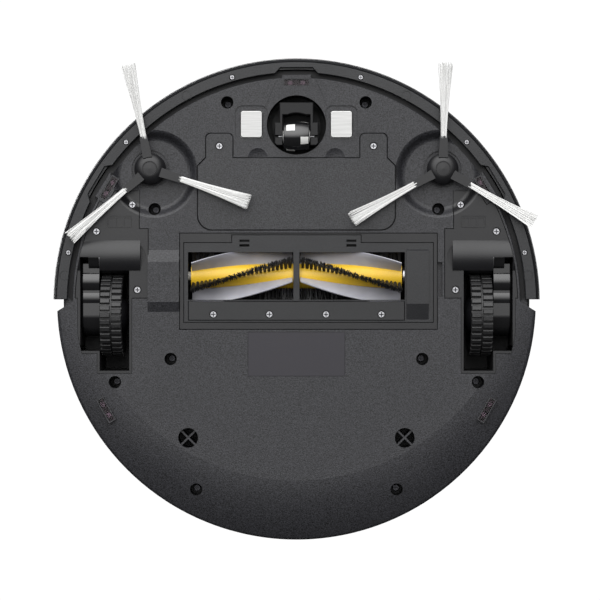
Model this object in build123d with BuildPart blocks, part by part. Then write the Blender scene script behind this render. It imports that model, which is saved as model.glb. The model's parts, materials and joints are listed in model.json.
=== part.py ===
"""Robot vacuum cleaner: a round floor robot with two driven wheels, a caster, two side
brushes and a roller brush. Millimetres.

The origin is on the floor under the centre of the body, +Z is up and -Y is forward. Left
and right are as seen from below with the front at the top, so the left side is at -X."""

import os
from math import asin, cos, degrees, radians, sin

from build123d import *

os.makedirs("parts", exist_ok=True)

# ---- Overall sizes
BODY_RADIUS = 161.6
BODY_HEIGHT = 76.0
GROUND_CLEARANCE = 9.0  # floor to the flat underside
WALL = 2.4
TOP_DEPTH = 20.0  # height of the upper housing and its panel
PANEL_PROUD = 1.0  # the top panel stands this much above the upper housing
PANEL_INSET = 21.0  # body rim to the edge of the top panel
PANEL_THICKNESS = 2.6
SHOULDER_FILLET = 8.0

# ---- Clearances
FIT = 0.25  # round a piece let into another
SEAM_GAP = 0.5  # round a cover let into the underside
RUN = 0.06  # radial, round a turning shaft
AIR = 0.4  # between pieces that pass each other

# ---- Bumper and the space it moves in
BUMPER_OVERHANG = 3.4
BUMPER_TRAVEL = 3.0
BUMPER_WALL = 2.0
PLATE_INSET = 10.8  # body rim to the edge of the front plate
FRONT_WALL_INSET = 5.6  # body rim to the wall behind the bumper
STEP_HEIGHT = 6.0  # the front plate's edge steps up by this
FLANGE_GAP = 3.5  # plate edge to the bumper's base ring
RING_HEIGHT = 0.6  # the base ring sits this far above the underside
RING_THICKNESS = 2.2
SEAM_INSET = 15.2  # body rim to the bend of the seam between front plate and rear skirt
SEAM_Y = -2.5
SEAM_SLOPE = 0.6
BUMPER_END_Y = -1.5
BUMP_OUT = 2.0  # the plate's edge bulges by this round the front sensors
BUMP_LENGTH = 20.0
SPRING_X = 50.0
SPRING_Z = 35.0

# ---- Underside rise towards the rear
RISE_CENTRE_Y = -30.0
RISE_START = 145.0
RISE_RADIUS = 100.0
RISE_DIP = 0.15  # the arc starts below the flat, so that the two meet in a slight crease
RIM_FILLET = 3.0

# ---- Side brushes
SIDE_BRUSH_INSET = 28.6  # body rim to the brush axis
SIDE_BRUSH_ANGLE = 47.8  # from the front
DISH_RADIUS = 29.6
DISH_FLOOR_RADIUS = 22.5
DISH_DEPTH = 5.0
DISH_SHIFT = (-2.7, 3.3)  # from the brush axis to the dish centre
HUB_RADIUS = 10.6
HUB_RING_RADIUS = 12.8
SHANK_RADIUS = 3.0
ARM_REACH = 22.0
BRISTLE_REACH = 71.0
LEFT_BRUSH_PHASE = 18.7
RIGHT_BRUSH_PHASE = 31.0

# ---- Caster
CASTER_Y = -118.9
CASTER_SOCKET_RADIUS = 20.0
CASTER_SOCKET_DEPTH = 21.0
CASTER_FORK_RADIUS = 16.4
CASTER_LOBE_RADIUS = 19.2  # reach of the fork's two lobes
CASTER_TRAIL = 7.7
CASTER_ROLLER_RADIUS = 10.0
CASTER_ROLLER_WIDTH = 17.4
ROLLER_END_RADIUS = 8.9  # the roller is barrel-shaped
CASTER_AXLE_RADIUS = 1.0
CASTER_STEM_RADIUS = 4.0
CASTER_STEM_LENGTH = 13.0

# ---- Drive wheels
TRACK_INSET = 36.95  # body rim to the middle of the tyre
WHEEL_Y = 9.0
WHEEL_RADIUS = 28.0
TYRE_WIDTH = 14.5
TYRE_DEPTH = 4.5
AXLE_RADIUS = 2.0
PIVOT_Y = -30.6
PIVOT_Z = 17.5
PIVOT_RADIUS = 9.5
MOTOR_RADIUS = 9.4
TRUNNION_RADIUS = 2.5
BULGE_RADIUS = 11.6
BULGE_SKIRT_RADIUS = 17.8  # of the wider skin that the bulge has below the plate
BULGE_BOTTOM = 5.5
MODULE_WALL = 1.6
MODULE_ROOF_GAP = 2.4  # tyre to the roof of its well

# ---- Roller brush
BRUSH_Y = -17.3
BRUSH_Z = 19.0
BRUSH_RADIUS = 18.5
BRUSH_CORE_RADIUS = 8.5
BRUSH_HALF_LENGTH = 71.0
BRUSH_TWIST = -80.0  # degrees that a blade turns from the end to the middle
BLADE_PHASE = -28.0  # of the first blade at the end, from straight down to the rear
BLADE_THICKNESS = 1.6
ROW_OFFSET = 64.0  # from a blade to the next bristle row
BRISTLE_ROW_THICKNESS = 2.6
BAY_LEFT, BAY_RIGHT = -78.4, 94.6
BAY_FRONT, BAY_REAR = -45.9, 18.4
TUNNEL_GAP = 2.0  # roller to the roof of its tunnel
COVER_THICKNESS = 3.0
MOUTH_LEFT, MOUTH_RIGHT = -73.0, 73.0
MOUTH_FRONT, MOUTH_REAR = -33.2, -1.4
RIB_WIDTH = 4.1
BRUSH_DRIVE_RADIUS = 3.0
HUMP_LEFT, HUMP_RIGHT = -100.0, -79.0
HUMP_FRONT, HUMP_REAR = -34.8, 6.9
HUMP_PROUD = 2.3
BLOCK_LEFT, BLOCK_RIGHT = 74.0, 89.0

# ---- Gears of the roller brush
GEAR_MODULE = 1.0
DRIVE_TEETH, IDLER_TEETH, PINION_TEETH = 15, 18, 11
GEAR_WIDTH = 6.0
GEAR_LEFT = -90.0
BRUSH_MOTOR_RADIUS = 8.0
BRUSH_MOTOR_LENGTH = 34.0

# ---- Battery
BATTERY_HALF_LENGTH = 66.5
BATTERY_FRONT, BATTERY_REAR = -96.7, -48.3
BATTERY_COVER_THICKNESS = 2.0
BATTERY_CORNER = 10.0
EAR_X = 51.9
EAR_WIDTH = 18.2
EAR_FRONT = -113.2
CELL_RADIUS = 9.2
CELL_LENGTH = 65.0
TRAY_WALL = 1.6

# ---- Charging contacts
CONTACT_X = 30.3
CONTACT_Y = -119.3
CONTACT_SIZE = (14.8, 18.2)
CONTACT_CORNER = 2.0
CONTACT_PROUD = 0.5
CONTACT_MARGIN = 3.6

# ---- Dust bin
BIN_HALF_WIDTH = 60.0
BIN_FRONT = 66.0
BIN_FLOOR = 22.0
BIN_WALL = 1.8
BIN_LID_THICKNESS = 2.0
INLET = (-55.0, -27.0, 27.0, 39.0)  # x from, to, z from, to
FILTER = (6.0, 50.0, 27.0, 48.0)

# ---- Fan
FAN_X = 27.0
FAN_Y = 41.0
FAN_RADIUS = 19.0
FAN_FLOOR = 22.0
FAN_HEIGHT = 16.0

# ---- Power button
BUTTON_Y = -100.0
BUTTON_RADIUS = 9.0
BUTTON_TRAVEL = 1.2

# ---- Screws: the heads seen on the underside, and the deep wells of the housing
HEAD_RADIUS = 2.3
HEAD_HEIGHT = 1.2
SCREW_RADIUS = 1.2
SCREW_LENGTH = 7.0
HEAD_POCKET = 2.9
BUMPER_HEAD_RADIUS = 1.7
BUMPER_SCREW_LENGTH = 5.0  # short, to stay below the step of the front wall
WELL_RADIUS = 4.2
WELL_DEPTH = 20.0
WELL_WALL = 1.6
CROSS_WELL_RADIUS = 6.7

# ---- Worked out from the sizes above
BASE_Z = GROUND_CLEARANCE
INNER_Z = BASE_Z + WALL
SEAM_Z = BODY_HEIGHT - TOP_DEPTH
SHELL_TOP = BODY_HEIGHT - PANEL_PROUD
PLATE_RADIUS = BODY_RADIUS - PLATE_INSET
FRONT_RADIUS = BODY_RADIUS - FRONT_WALL_INSET
STEP_Z = BASE_Z + STEP_HEIGHT
BUMPER_RADIUS = BODY_RADIUS + BUMPER_OVERHANG
FLANGE_RADIUS = PLATE_RADIUS + FLANGE_GAP
BUMPER_TOP = SEAM_Z - AIR
RING_Z = BASE_Z + RING_HEIGHT
SHELL_FLANGE_Z = RING_Z + RING_THICKNESS
WHEEL_X = BODY_RADIUS - TRACK_INSET
WHEEL_Z = WHEEL_RADIUS
BRUSH_AXIS_RADIUS = BODY_RADIUS - SIDE_BRUSH_INSET
SIDE_BRUSH_X = BRUSH_AXIS_RADIUS * sin(radians(SIDE_BRUSH_ANGLE))
SIDE_BRUSH_Y = -BRUSH_AXIS_RADIUS * cos(radians(SIDE_BRUSH_ANGLE))
DISH_X = SIDE_BRUSH_X + DISH_SHIFT[0]
DISH_Y = SIDE_BRUSH_Y + DISH_SHIFT[1]
DISH_Z = BASE_Z + DISH_DEPTH
MODULE_FRONT = DISH_Y + 11.34  # the wheel module's plate reaches into the dish
DISH_ROOF = DISH_Z + WALL
SOCKET_Z = BASE_Z + CASTER_SOCKET_DEPTH
BATTERY_Y = (BATTERY_FRONT + BATTERY_REAR) / 2
COVER_SEAT_Z = BASE_Z + BATTERY_COVER_THICKNESS + FIT
PACK_HALF_LENGTH = CELL_LENGTH
PACK_HALF_WIDTH = 2 * CELL_RADIUS
PACK_Z = COVER_SEAT_Z + 0.6
TRAY_TOP = PACK_Z + 2 * CELL_RADIUS + AIR
BRUSH_ROOF = BRUSH_Z + BRUSH_RADIUS + TUNNEL_GAP
BAY_TOP = BRUSH_ROOF + WALL
TUNNEL_RADIUS = BRUSH_RADIUS + TUNNEL_GAP
IDLER_Z = BRUSH_Z + GEAR_MODULE * (DRIVE_TEETH + IDLER_TEETH) / 2
PINION_Z = IDLER_Z + GEAR_MODULE * (IDLER_TEETH + PINION_TEETH) / 2
WELL_ROOF = WHEEL_Z + WHEEL_RADIUS + MODULE_ROOF_GAP
MODULE_RADIUS = PLATE_RADIUS - 2.2
BIN_TOP = SEAM_Z - AIR
PANEL_RADIUS = BODY_RADIUS - PANEL_INSET
PANEL_SEAT = BODY_HEIGHT - PANEL_THICKNESS
FAR = 2 * BODY_RADIUS  # longer than anything in the part
WELL_ROOF_Z = BASE_Z + WELL_DEPTH
GEAR_BOX = (-94.4, BAY_LEFT, BRUSH_Y - 13, BRUSH_Y + 13)
GEAR_POCKET_Z = BASE_Z + 0.6
TRAY_BOUNDS = (
    -PACK_HALF_LENGTH - AIR,
    PACK_HALF_LENGTH + AIR,
    BATTERY_Y - PACK_HALF_WIDTH - AIR,
    BATTERY_Y + PACK_HALF_WIDTH + AIR,
)
BOARD_Z = TRAY_TOP + TRAY_WALL + 5
BOARD_SIZE = (124.0, 44.0)
BOARD_POSTS = [(x, BATTERY_Y + y) for x in (-56, 56) for y in (-16, 16)]
CONTACT_RECESS = 0.8
BIN_RAIL_X = BIN_HALF_WIDTH - 8
BIN_GUIDE_X = BIN_HALF_WIDTH + AIR + 0.8
FINGER_SLOT = (BAY_RIGHT, BAY_RIGHT + 3.6, -26.6, -3.2)
LABEL_BOUNDS = (-32.5, 32.5, 20.6, 50.0)
SCOOP_X = 26.0
SCOOP_DEPTH = 1.4
SCOOP_RADIUS = 16.7
SWITCH_X = 86.0
SWITCH_Z = 30.0
SQUEEGEE_BOUNDS = (BAY_LEFT + 5.6, 72.8, -0.3, 12.6)
SQUEEGEE_THICKNESS = 1.8
LATCH_Z = 40.0
LATCH_TRAVEL = 2.0
EXHAUST_ANGLES = range(120, 136, 2)  # from the front towards the right
EXHAUST_Z = 38.0
EXHAUST_HEIGHT = 14.0


# ---- Places of repeated features
def both_sides(points):
    """The points and their mirror images in the plane x = 0."""
    return [(side * x, y) for x, y in points for side in (1, -1)]


def on_circle(radius, angle):
    """The point at that radius, angle degrees from the front towards the right."""
    return radius * sin(radians(angle)), -radius * cos(radians(angle))


def export(part, name, *more):
    """Writes one node, a single solid or a group of separate solids."""
    solids = [solid for piece in (part, *more) for solid in piece.solids()]
    node = solids[0] if len(solids) == 1 else Compound(children=solids)
    node.label = name
    export_step(node, f"parts/{name}.step")


def mirrored(part):
    """The same piece on the other side of the body."""
    return part.mirror(Plane.YZ)


HOUSING_WELLS = both_sides(
    [(46.6, -134.1), (95.7, -62.4), (84.7, 38.6), (122.2, 54.2), (67.6, 126.7)]
)
CROSS_WELLS = both_sides([(72.9, 91.7)])
BATTERY_SCREWS = both_sides([(EAR_X, -104.7)])
SQUEEGEE_SCREWS = [(-55.9, 8.6), (-18.2, 8.6), (19.9, 8.6), (57.2, 8.6)]
DISH_SCREW = (WHEEL_X - 13.9, DISH_Y + 20.64)
PLATE_SCREWS = [(WHEEL_X + 9.95, -47.2), (WHEEL_X - 17.6, -7.9)]
BUMPER_SCREW_ANGLES = (-77.9, -46.9, -16.0, 16.0, 46.9, 77.9)
PLUG_ANGLES = (-83.6, -28.1, 28.1, 83.6)
PLUG_RADIUS = 3.5
FRONT_SENSOR_ANGLES = (-58.8, 0.0, 58.8)
REAR_SENSOR_ANGLES = (-119.6, 119.6)
FRONT_SENSOR_INSET = 3.2  # plate edge to the sensor's middle
REAR_SENSOR_INSET = 14.2  # body rim to the sensor's middle
SENSOR_SIZE = (18.0, 5.6)
SENSOR_DEPTH = 4.4
SENSOR_RIM = 1.5

# A cliff sensor stands with its long side along the rim
SENSOR_PLACES = [
    Location((*on_circle(PLATE_RADIUS - FRONT_SENSOR_INSET, angle), 0), (0, 0, angle))
    for angle in FRONT_SENSOR_ANGLES
] + [
    Location((*on_circle(BODY_RADIUS - REAR_SENSOR_INSET, angle), 0), (0, 0, angle))
    for angle in REAR_SENSOR_ANGLES
]
RIGHT_SENSOR_PLACE = SENSOR_PLACES[2] * Location((0, -4, 0))
BUMPER_SCREW_RADIUS = FLANGE_RADIUS + 2.8
BUMPER_SCREWS = [on_circle(BUMPER_SCREW_RADIUS, angle) for angle in BUMPER_SCREW_ANGLES]
CATCHES = [(-35.0, BAY_FRONT + 6.5), (37.0, BAY_FRONT + 6.5)]


# ---- Outlines that two pieces share, for the sketch that is open
def rectangle(bounds, grow=0.0, mode=Mode.ADD):
    """A rectangle given as x from, x to, y from, y to, grown all round."""
    x0, x1, y0, y1 = bounds
    with Locations(((x0 + x1) / 2, (y0 + y1) / 2)):
        Rectangle(x1 - x0 + 2 * grow, y1 - y0 + 2 * grow, mode=mode)


def front_region(shift=0.0, mode=Mode.ADD):
    """Everything in front of the seam between the front plate and the rear skirt."""
    bend = BODY_RADIUS - SEAM_INSET
    side_y = SEAM_Y + SEAM_SLOPE * (FAR - bend) + shift
    Polygon(
        (-FAR, -FAR),
        (FAR, -FAR),
        (FAR, side_y),
        (bend, SEAM_Y + shift),
        (-bend, SEAM_Y + shift),
        (-FAR, side_y),
        align=None,
        mode=mode,
    )


def front_plate():
    """The front plate, with a bulge in its edge round each front sensor."""
    Circle(PLATE_RADIUS)
    for angle in FRONT_SENSOR_ANGLES:
        with Locations(Location((*on_circle(PLATE_RADIUS - 6, angle), 0), (0, 0, angle))):
            Rectangle(BUMP_LENGTH, 2 * (6 + BUMP_OUT))


def rise_profile(lift):
    """The outline below the rising part of the underside, lifted by that much."""
    start = BASE_Z + lift - RISE_DIP
    sweep = degrees(asin((BODY_RADIUS - RISE_CENTRE_Y - RISE_START + 5) / RISE_RADIUS))
    with BuildLine() as outline:
        rise = CenterArc((RISE_START, start + RISE_RADIUS), RISE_RADIUS, -90, sweep)
        end = rise @ 1
        Polyline(end, (end.X, start - 20), (RISE_START, start - 20), rise @ 0)
    make_face(outline.edges())


RISE_PLANE = Plane.XZ.offset(-RISE_CENTRE_Y)
RISE_AXIS = Axis((0, RISE_CENTRE_Y, 0), (0, 0, 1))


def battery_outline(grow=0.0):
    """The battery cover: a rounded plate with two screw ears at the front."""
    shoulder = BATTERY_HALF_LENGTH - (EAR_X + EAR_WIDTH / 2)
    with BuildSketch(mode=Mode.PRIVATE) as outline:
        rectangle(
            (-BATTERY_HALF_LENGTH, BATTERY_HALF_LENGTH, BATTERY_FRONT, BATTERY_REAR), grow
        )
        chamfer(outline.vertices().group_by(Axis.Y)[0], shoulder)
        for x, _ in BATTERY_SCREWS:
            ear = (x - EAR_WIDTH / 2, x + EAR_WIDTH / 2, EAR_FRONT, BATTERY_FRONT + shoulder)
            rectangle(ear, grow)
        fillet(outline.vertices().group_by(Axis.Y)[-1], BATTERY_CORNER)
        fillet(outline.vertices().group_by(Axis.Y)[0], 3.5)
    add(outline.sketch)


def cover_outline(grow=0.0):
    """The roller brush's cover, with its wide tab at the front."""
    rectangle((BAY_LEFT + 2.8, BAY_RIGHT - 2.7, BAY_FRONT + 6.4, BAY_REAR - 4.7), grow)
    rectangle((-43.3, 43.3, BAY_FRONT + 1.2, BAY_FRONT + 10), grow)


TYRE_WELL = (WHEEL_X - 12.15, WHEEL_X + 7.85, -21.0, 46.6)
ARM_WELL = (WHEEL_X + 7.55, WHEEL_X + 20.95, -30.0, 33.2)
ARM_INNER_X = WHEEL_X + 8.3
ARM_OUTER_X = WHEEL_X + 20.4
ARM_NECK_X = WHEEL_X + 15.4
ARM_WIDTH_RADIUS = 14.8
ARM_NECK_RADIUS = 5.0
BULGE_LEFT = WHEEL_X - 19.6
BULGE_RIGHT = WHEEL_X + 20.4
MOTOR_LEFT = WHEEL_X - 13.0
BULGE_BOUNDS = (BULGE_LEFT, BULGE_RIGHT + 4, PIVOT_Y - BULGE_RADIUS, PIVOT_Y + BULGE_RADIUS)


def module_plate(grow=0.0, radius=MODULE_RADIUS, sensor_margin=SENSOR_RIM + FIT):
    """The bottom plate of the right wheel module, cut away round the cliff sensor."""
    inner, step = WHEEL_X - 24.65 - grow, WHEEL_X - 18.65 - grow
    Polygon(
        (inner, -2.6 + grow),
        (inner, -48.9 - grow),
        (step, -48.9 - grow),
        (step, MODULE_FRONT - grow),
        (FAR, MODULE_FRONT - grow),
        (FAR, -2.6 + grow),
        align=None,
    )
    Circle(radius, mode=Mode.INTERSECT)
    margin = 2 * (sensor_margin - grow)
    with Locations(RIGHT_SENSOR_PLACE):
        Rectangle(SENSOR_SIZE[0] + margin, SENSOR_SIZE[1] + margin + 8, mode=Mode.SUBTRACT)


def module_wells(grow=0.0, radius=MODULE_RADIUS):
    """The tyre and arm wells of the right wheel module."""
    rectangle(TYRE_WELL, MODULE_WALL + grow)
    rectangle(ARM_WELL, MODULE_WALL + grow)
    Circle(radius, mode=Mode.INTERSECT)


def screw(x, y, z, head_radius=HEAD_RADIUS, length=SCREW_LENGTH):
    """A cross-recessed screw with its head down, its lowest face at height z."""
    with BuildPart() as one:
        with BuildSketch(Plane((x, y, z))):
            Circle(head_radius)
        extrude(amount=HEAD_HEIGHT)
        chamfer(one.edges().group_by(Axis.Z)[0], 0.35)
        with BuildSketch(Plane((x, y, z + HEAD_HEIGHT))):
            Circle(SCREW_RADIUS * head_radius / HEAD_RADIUS)
        extrude(amount=length - HEAD_HEIGHT)
        with BuildSketch(Plane((x, y, z))):
            Rectangle(1.3 * head_radius, 0.3 * head_radius)
            Rectangle(0.3 * head_radius, 1.3 * head_radius)
        extrude(amount=0.45 * HEAD_HEIGHT, mode=Mode.SUBTRACT)
    return one.part


# The bowl over the right side brush, with a soft edge and a flat floor
with BuildPart() as bowl:
    with BuildSketch(Plane((DISH_X, DISH_Y, 0), x_dir=(1, 0, 0), z_dir=(0, -1, 0))):
        with BuildLine():
            lip = (DISH_RADIUS + 1.0, BASE_Z - 1.0)
            edge = (DISH_RADIUS, BASE_Z)
            floor = (DISH_FLOOR_RADIUS, DISH_Z)
            slope = Spline(edge, floor, tangents=[(-1.0, 0.25), (-1.0, 0.1)])
            Polyline(floor, (0, DISH_Z), (0, BASE_Z - 1.0), lip, edge)
        make_face()
    revolve(axis=Axis((DISH_X, DISH_Y, 0), (0, 0, 1)))

# ================= Bottom housing
with BuildPart() as cavity:
    with BuildSketch(Plane.XY.offset(INNER_Z)):
        Circle(BODY_RADIUS - WALL)
        front_region(WALL, mode=Mode.SUBTRACT)
        Circle(PLATE_RADIUS - WALL)
    extrude(amount=FAR)
    with BuildSketch(Plane.XY.offset(STEP_Z + WALL)):
        Circle(FRONT_RADIUS - WALL)
    extrude(amount=FAR)
    with BuildSketch(RISE_PLANE):
        rise_profile(WALL)
    revolve(axis=RISE_AXIS, mode=Mode.SUBTRACT)

# The right wheel module's seat: its plate lies in a recess, its wells pass through
MODULE_RECESS_Z = INNER_Z + FIT
MODULE_LEDGE_Z = MODULE_RECESS_Z + WALL

with BuildPart() as module_ledge:
    with BuildSketch(Plane.XY.offset(INNER_Z - 1)):
        module_plate(2 * WALL, sensor_margin=2 * WALL)
    extrude(amount=MODULE_LEDGE_Z - INNER_Z + 1)
    with BuildSketch(Plane.XY.offset(INNER_Z - 1)):
        module_plate(2 * WALL, sensor_margin=2 * WALL)
        with Locations((DISH_X, DISH_Y)):
            Circle(DISH_RADIUS + 2 * WALL, mode=Mode.INTERSECT)
    extrude(amount=DISH_ROOF + FIT + WALL - INNER_Z + 1)
    for x, y in [DISH_SCREW] + PLATE_SCREWS:
        with BuildSketch(Plane((x, y, INNER_Z))):
            Circle(3.4)
        extrude(amount=SCREW_LENGTH + 3)

with BuildPart() as module_space:
    with BuildSketch(Plane.XY.offset(BASE_Z - 1)):
        module_plate(SEAM_GAP, MODULE_RADIUS + SEAM_GAP)
    extrude(amount=MODULE_RECESS_Z - BASE_Z + 1)
    with BuildSketch(Plane.XY.offset(BASE_Z - 1)):
        module_plate(FIT, MODULE_RADIUS + FIT)
        with Locations((DISH_X, DISH_Y)):
            Circle(DISH_RADIUS + WALL + FIT, mode=Mode.INTERSECT)
    extrude(amount=DISH_ROOF + FIT - BASE_Z + 1)
    with BuildSketch(Plane.XY.offset(BASE_Z - 1)):
        module_wells(FIT, MODULE_RADIUS + FIT)
    extrude(amount=FAR)
    with BuildSketch(Plane.XY.offset(BASE_Z - 1)):
        rectangle(BULGE_BOUNDS, FIT)
        Circle(MODULE_RADIUS + FIT, mode=Mode.INTERSECT)
    extrude(amount=PIVOT_Z + BULGE_RADIUS + FIT - BASE_Z + 1)
    for x, y in [DISH_SCREW] + PLATE_SCREWS:
        with BuildSketch(Plane((x, y, BASE_Z))):
            Circle(SCREW_RADIUS)
        extrude(amount=SCREW_LENGTH + 6)

# Everything below the underside where it rises to the rear rim
with BuildPart() as below_rise:
    with BuildSketch(RISE_PLANE):
        rise_profile(0)
    revolve(axis=RISE_AXIS)

with BuildPart() as bottom_housing:
    # the rear skirt, the front plate and the wall behind the bumper
    with BuildSketch(Plane.XY.offset(BASE_Z)):
        Circle(BODY_RADIUS)
        front_region(mode=Mode.SUBTRACT)
    extrude(amount=SEAM_Z - BASE_Z)
    with BuildSketch(Plane.XY.offset(BASE_Z)):
        front_plate()
    extrude(amount=STEP_HEIGHT)
    with BuildSketch(Plane.XY.offset(STEP_Z)):
        Circle(FRONT_RADIUS)
    extrude(amount=SEAM_Z - STEP_Z)
    add(below_rise.part, mode=Mode.SUBTRACT)
    rim = bottom_housing.edges().filter_by(lambda e: e.bounding_box().max.Z < SEAM_Z - WALL)
    rim = rim.filter_by(lambda e: e.bounding_box().max.Y > BODY_RADIUS - 1)
    fillet(rim, RIM_FILLET)
    plate_rim = bottom_housing.edges().group_by(Axis.Z)[0]
    chamfer(plate_rim.filter_by(lambda e: (e @ 0.5).Y < SEAM_Y - 1), 0.5)
    add(cavity.part, mode=Mode.SUBTRACT)

    # floor under the side brush bowls
    with BuildSketch(Plane.XY.offset(INNER_Z - 1)):
        with Locations(both_sides([(DISH_X, DISH_Y)])):
            Circle(DISH_RADIUS + WALL)
        Circle(PLATE_RADIUS - 1, mode=Mode.INTERSECT)
    extrude(amount=DISH_ROOF - INNER_Z + 1)
    # ledges that the wheel modules lie on
    add(module_ledge.part)
    add(mirrored(module_ledge.part))
    # battery tray and the frame round its cover
    with BuildSketch(Plane.XY.offset(INNER_Z - 1)):
        battery_outline(WALL)
    extrude(amount=COVER_SEAT_Z + WALL - INNER_Z + 1)
    with BuildSketch(Plane.XY.offset(INNER_Z - 1)):
        rectangle(TRAY_BOUNDS, TRAY_WALL)
    extrude(amount=TRAY_TOP + TRAY_WALL - INNER_Z + 1)
    # sleeves of the battery cover's screws, and posts of the main board
    with BuildSketch(Plane.XY.offset(COVER_SEAT_Z)):
        with Locations(BATTERY_SCREWS):
            Circle(3.4)
    extrude(amount=SCREW_LENGTH + 2)
    with BuildSketch(Plane.XY.offset(TRAY_TOP)):
        with Locations(BOARD_POSTS):
            Circle(3)
    extrude(amount=BOARD_Z - TRAY_TOP)
    # caster socket with the bearing of its stem
    with BuildSketch(Plane((0, CASTER_Y, INNER_Z - 1))):
        Circle(CASTER_SOCKET_RADIUS + WALL)
    extrude(amount=SOCKET_Z + WALL - INNER_Z + 1)
    with BuildSketch(Plane((0, CASTER_Y, SOCKET_Z))):
        Circle(CASTER_STEM_RADIUS + 3)
    extrude(amount=CASTER_STEM_LENGTH)
    # sleeves of the deep screw wells
    with BuildSketch(Plane.XY.offset(INNER_Z - 1)):
        with Locations(HOUSING_WELLS):
            Circle(WELL_RADIUS + WELL_WALL)
        with Locations(CROSS_WELLS):
            Circle(CROSS_WELL_RADIUS + WELL_WALL)
    extrude(amount=WELL_ROOF_Z + WALL - INNER_Z + 1)
    # pockets of the cliff sensors
    with BuildSketch(Plane.XY.offset(INNER_Z - 1)):
        with Locations(SENSOR_PLACES):
            Rectangle(SENSOR_SIZE[0] + 3, SENSOR_SIZE[1] + 3)
    extrude(amount=SENSOR_DEPTH + SENSOR_RIM - WALL + 1)
    # rails and side guides of the dust bin
    with BuildSketch(Plane.XY.offset(INNER_Z - 1)):
        for x in (-BIN_RAIL_X, BIN_RAIL_X):
            rectangle((x - 1.5, x + 1.5, BIN_FRONT, BODY_RADIUS))
        Circle(BODY_RADIUS - RIM_FILLET - AIR, mode=Mode.INTERSECT)
    extrude(amount=BIN_FLOOR - INNER_Z + 1)
    with BuildSketch(Plane.XY.offset(INNER_Z - 1)):
        for x in (-BIN_GUIDE_X, BIN_GUIDE_X):
            rectangle((x - 0.8, x + 0.8, BIN_FRONT, BODY_RADIUS))
        Circle(BODY_RADIUS - RIM_FILLET - AIR, mode=Mode.INTERSECT)
    extrude(amount=BIN_FLOOR + 16 - INNER_Z + 1)
    # the hump beside the roller brush's gears
    with BuildSketch(Plane.YZ.offset(HUMP_LEFT)):
        Polygon(
            (HUMP_FRONT, INNER_Z - 1),
            (HUMP_FRONT, BASE_Z),
            (HUMP_FRONT + 8, BASE_Z - HUMP_PROUD),
            (HUMP_REAR - 6.7, BASE_Z - HUMP_PROUD),
            (HUMP_REAR, BASE_Z),
            (HUMP_REAR, INNER_Z - 1),
            align=None,
        )
    extrude(amount=HUMP_RIGHT - HUMP_LEFT)
    # floor of the finger slot beside the roller brush
    with BuildSketch(Plane.XY.offset(INNER_Z - 1)):
        rectangle(FINGER_SLOT, WALL)
    extrude(amount=6.0)

    with BuildSketch(Plane.XY.offset(GEAR_POCKET_Z)):
        rectangle(GEAR_BOX, FIT)
    extrude(amount=8, mode=Mode.SUBTRACT)

    # cuts from below
    add(below_rise.part, mode=Mode.SUBTRACT)
    add(bowl.part, mode=Mode.SUBTRACT)
    add(mirrored(bowl.part), mode=Mode.SUBTRACT)
    for x, y in both_sides([(SIDE_BRUSH_X, SIDE_BRUSH_Y)]):
        with BuildSketch(Plane((x, y, DISH_Z - 1))):
            Circle(HUB_RING_RADIUS)
            Circle(HUB_RADIUS + 0.6, mode=Mode.SUBTRACT)
        extrude(amount=2.0, mode=Mode.SUBTRACT)
        with BuildSketch(Plane((x, y, BASE_Z))):
            Circle(SHANK_RADIUS + 1.5)
        extrude(amount=FAR, mode=Mode.SUBTRACT)
    add(module_space.part, mode=Mode.SUBTRACT)
    add(mirrored(module_space.part), mode=Mode.SUBTRACT)
    with BuildSketch(Plane.XY.offset(BASE_Z - 1)):
        battery_outline(SEAM_GAP)
    extrude(amount=COVER_SEAT_Z - BASE_Z + 1, mode=Mode.SUBTRACT)
    with BuildSketch(Plane.XY.offset(BASE_Z - 1)):
        rectangle(TRAY_BOUNDS)
    extrude(amount=TRAY_TOP - BASE_Z + 1, mode=Mode.SUBTRACT)
    with BuildSketch(Plane.XY.offset(BASE_Z)):
        with Locations(BATTERY_SCREWS):
            Circle(SCREW_RADIUS)
    extrude(amount=SCREW_LENGTH + 3, mode=Mode.SUBTRACT)
    with BuildSketch(Plane((0, CASTER_Y, BASE_Z - 1))):
        Circle(CASTER_SOCKET_RADIUS)
    extrude(amount=SOCKET_Z - BASE_Z + 1, mode=Mode.SUBTRACT)
    with BuildSketch(Plane((0, CASTER_Y, BASE_Z))):
        Circle(CASTER_STEM_RADIUS + RUN)
    extrude(amount=FAR, mode=Mode.SUBTRACT)
    with BuildSketch(Plane.XY.offset(BASE_Z - 1)):
        with Locations(both_sides([(CONTACT_X, CONTACT_Y)])):
            RectangleRounded(
                CONTACT_SIZE[0] + 2 * CONTACT_MARGIN,
                CONTACT_SIZE[1] + 2 * CONTACT_MARGIN,
                CONTACT_CORNER + 3,
            )
    extrude(amount=1 + CONTACT_RECESS, mode=Mode.SUBTRACT)
    with BuildSketch(Plane.XY.offset(BASE_Z - 1)):
        with Locations(both_sides([(CONTACT_X, CONTACT_Y)])):
            RectangleRounded(
                CONTACT_SIZE[0] + 2 * FIT, CONTACT_SIZE[1] + 2 * FIT, CONTACT_CORNER + FIT
            )
    extrude(amount=WALL + 2, mode=Mode.SUBTRACT)
    with BuildSketch(Plane.XY.offset(BASE_Z - 1)):
        with Locations(HOUSING_WELLS):
            Circle(WELL_RADIUS)
        with Locations(CROSS_WELLS):
            Circle(CROSS_WELL_RADIUS)
            Rectangle(2 * CROSS_WELL_RADIUS, 1.2, rotation=45, mode=Mode.SUBTRACT)
            Rectangle(1.2, 2 * CROSS_WELL_RADIUS, rotation=45, mode=Mode.SUBTRACT)
    extrude(amount=WELL_DEPTH + 1, mode=Mode.SUBTRACT)
    with BuildSketch(Plane.XY.offset(BASE_Z)):
        with Locations(HOUSING_WELLS):
            Circle(SCREW_RADIUS + 0.1)
    extrude(amount=FAR, mode=Mode.SUBTRACT)
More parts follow.
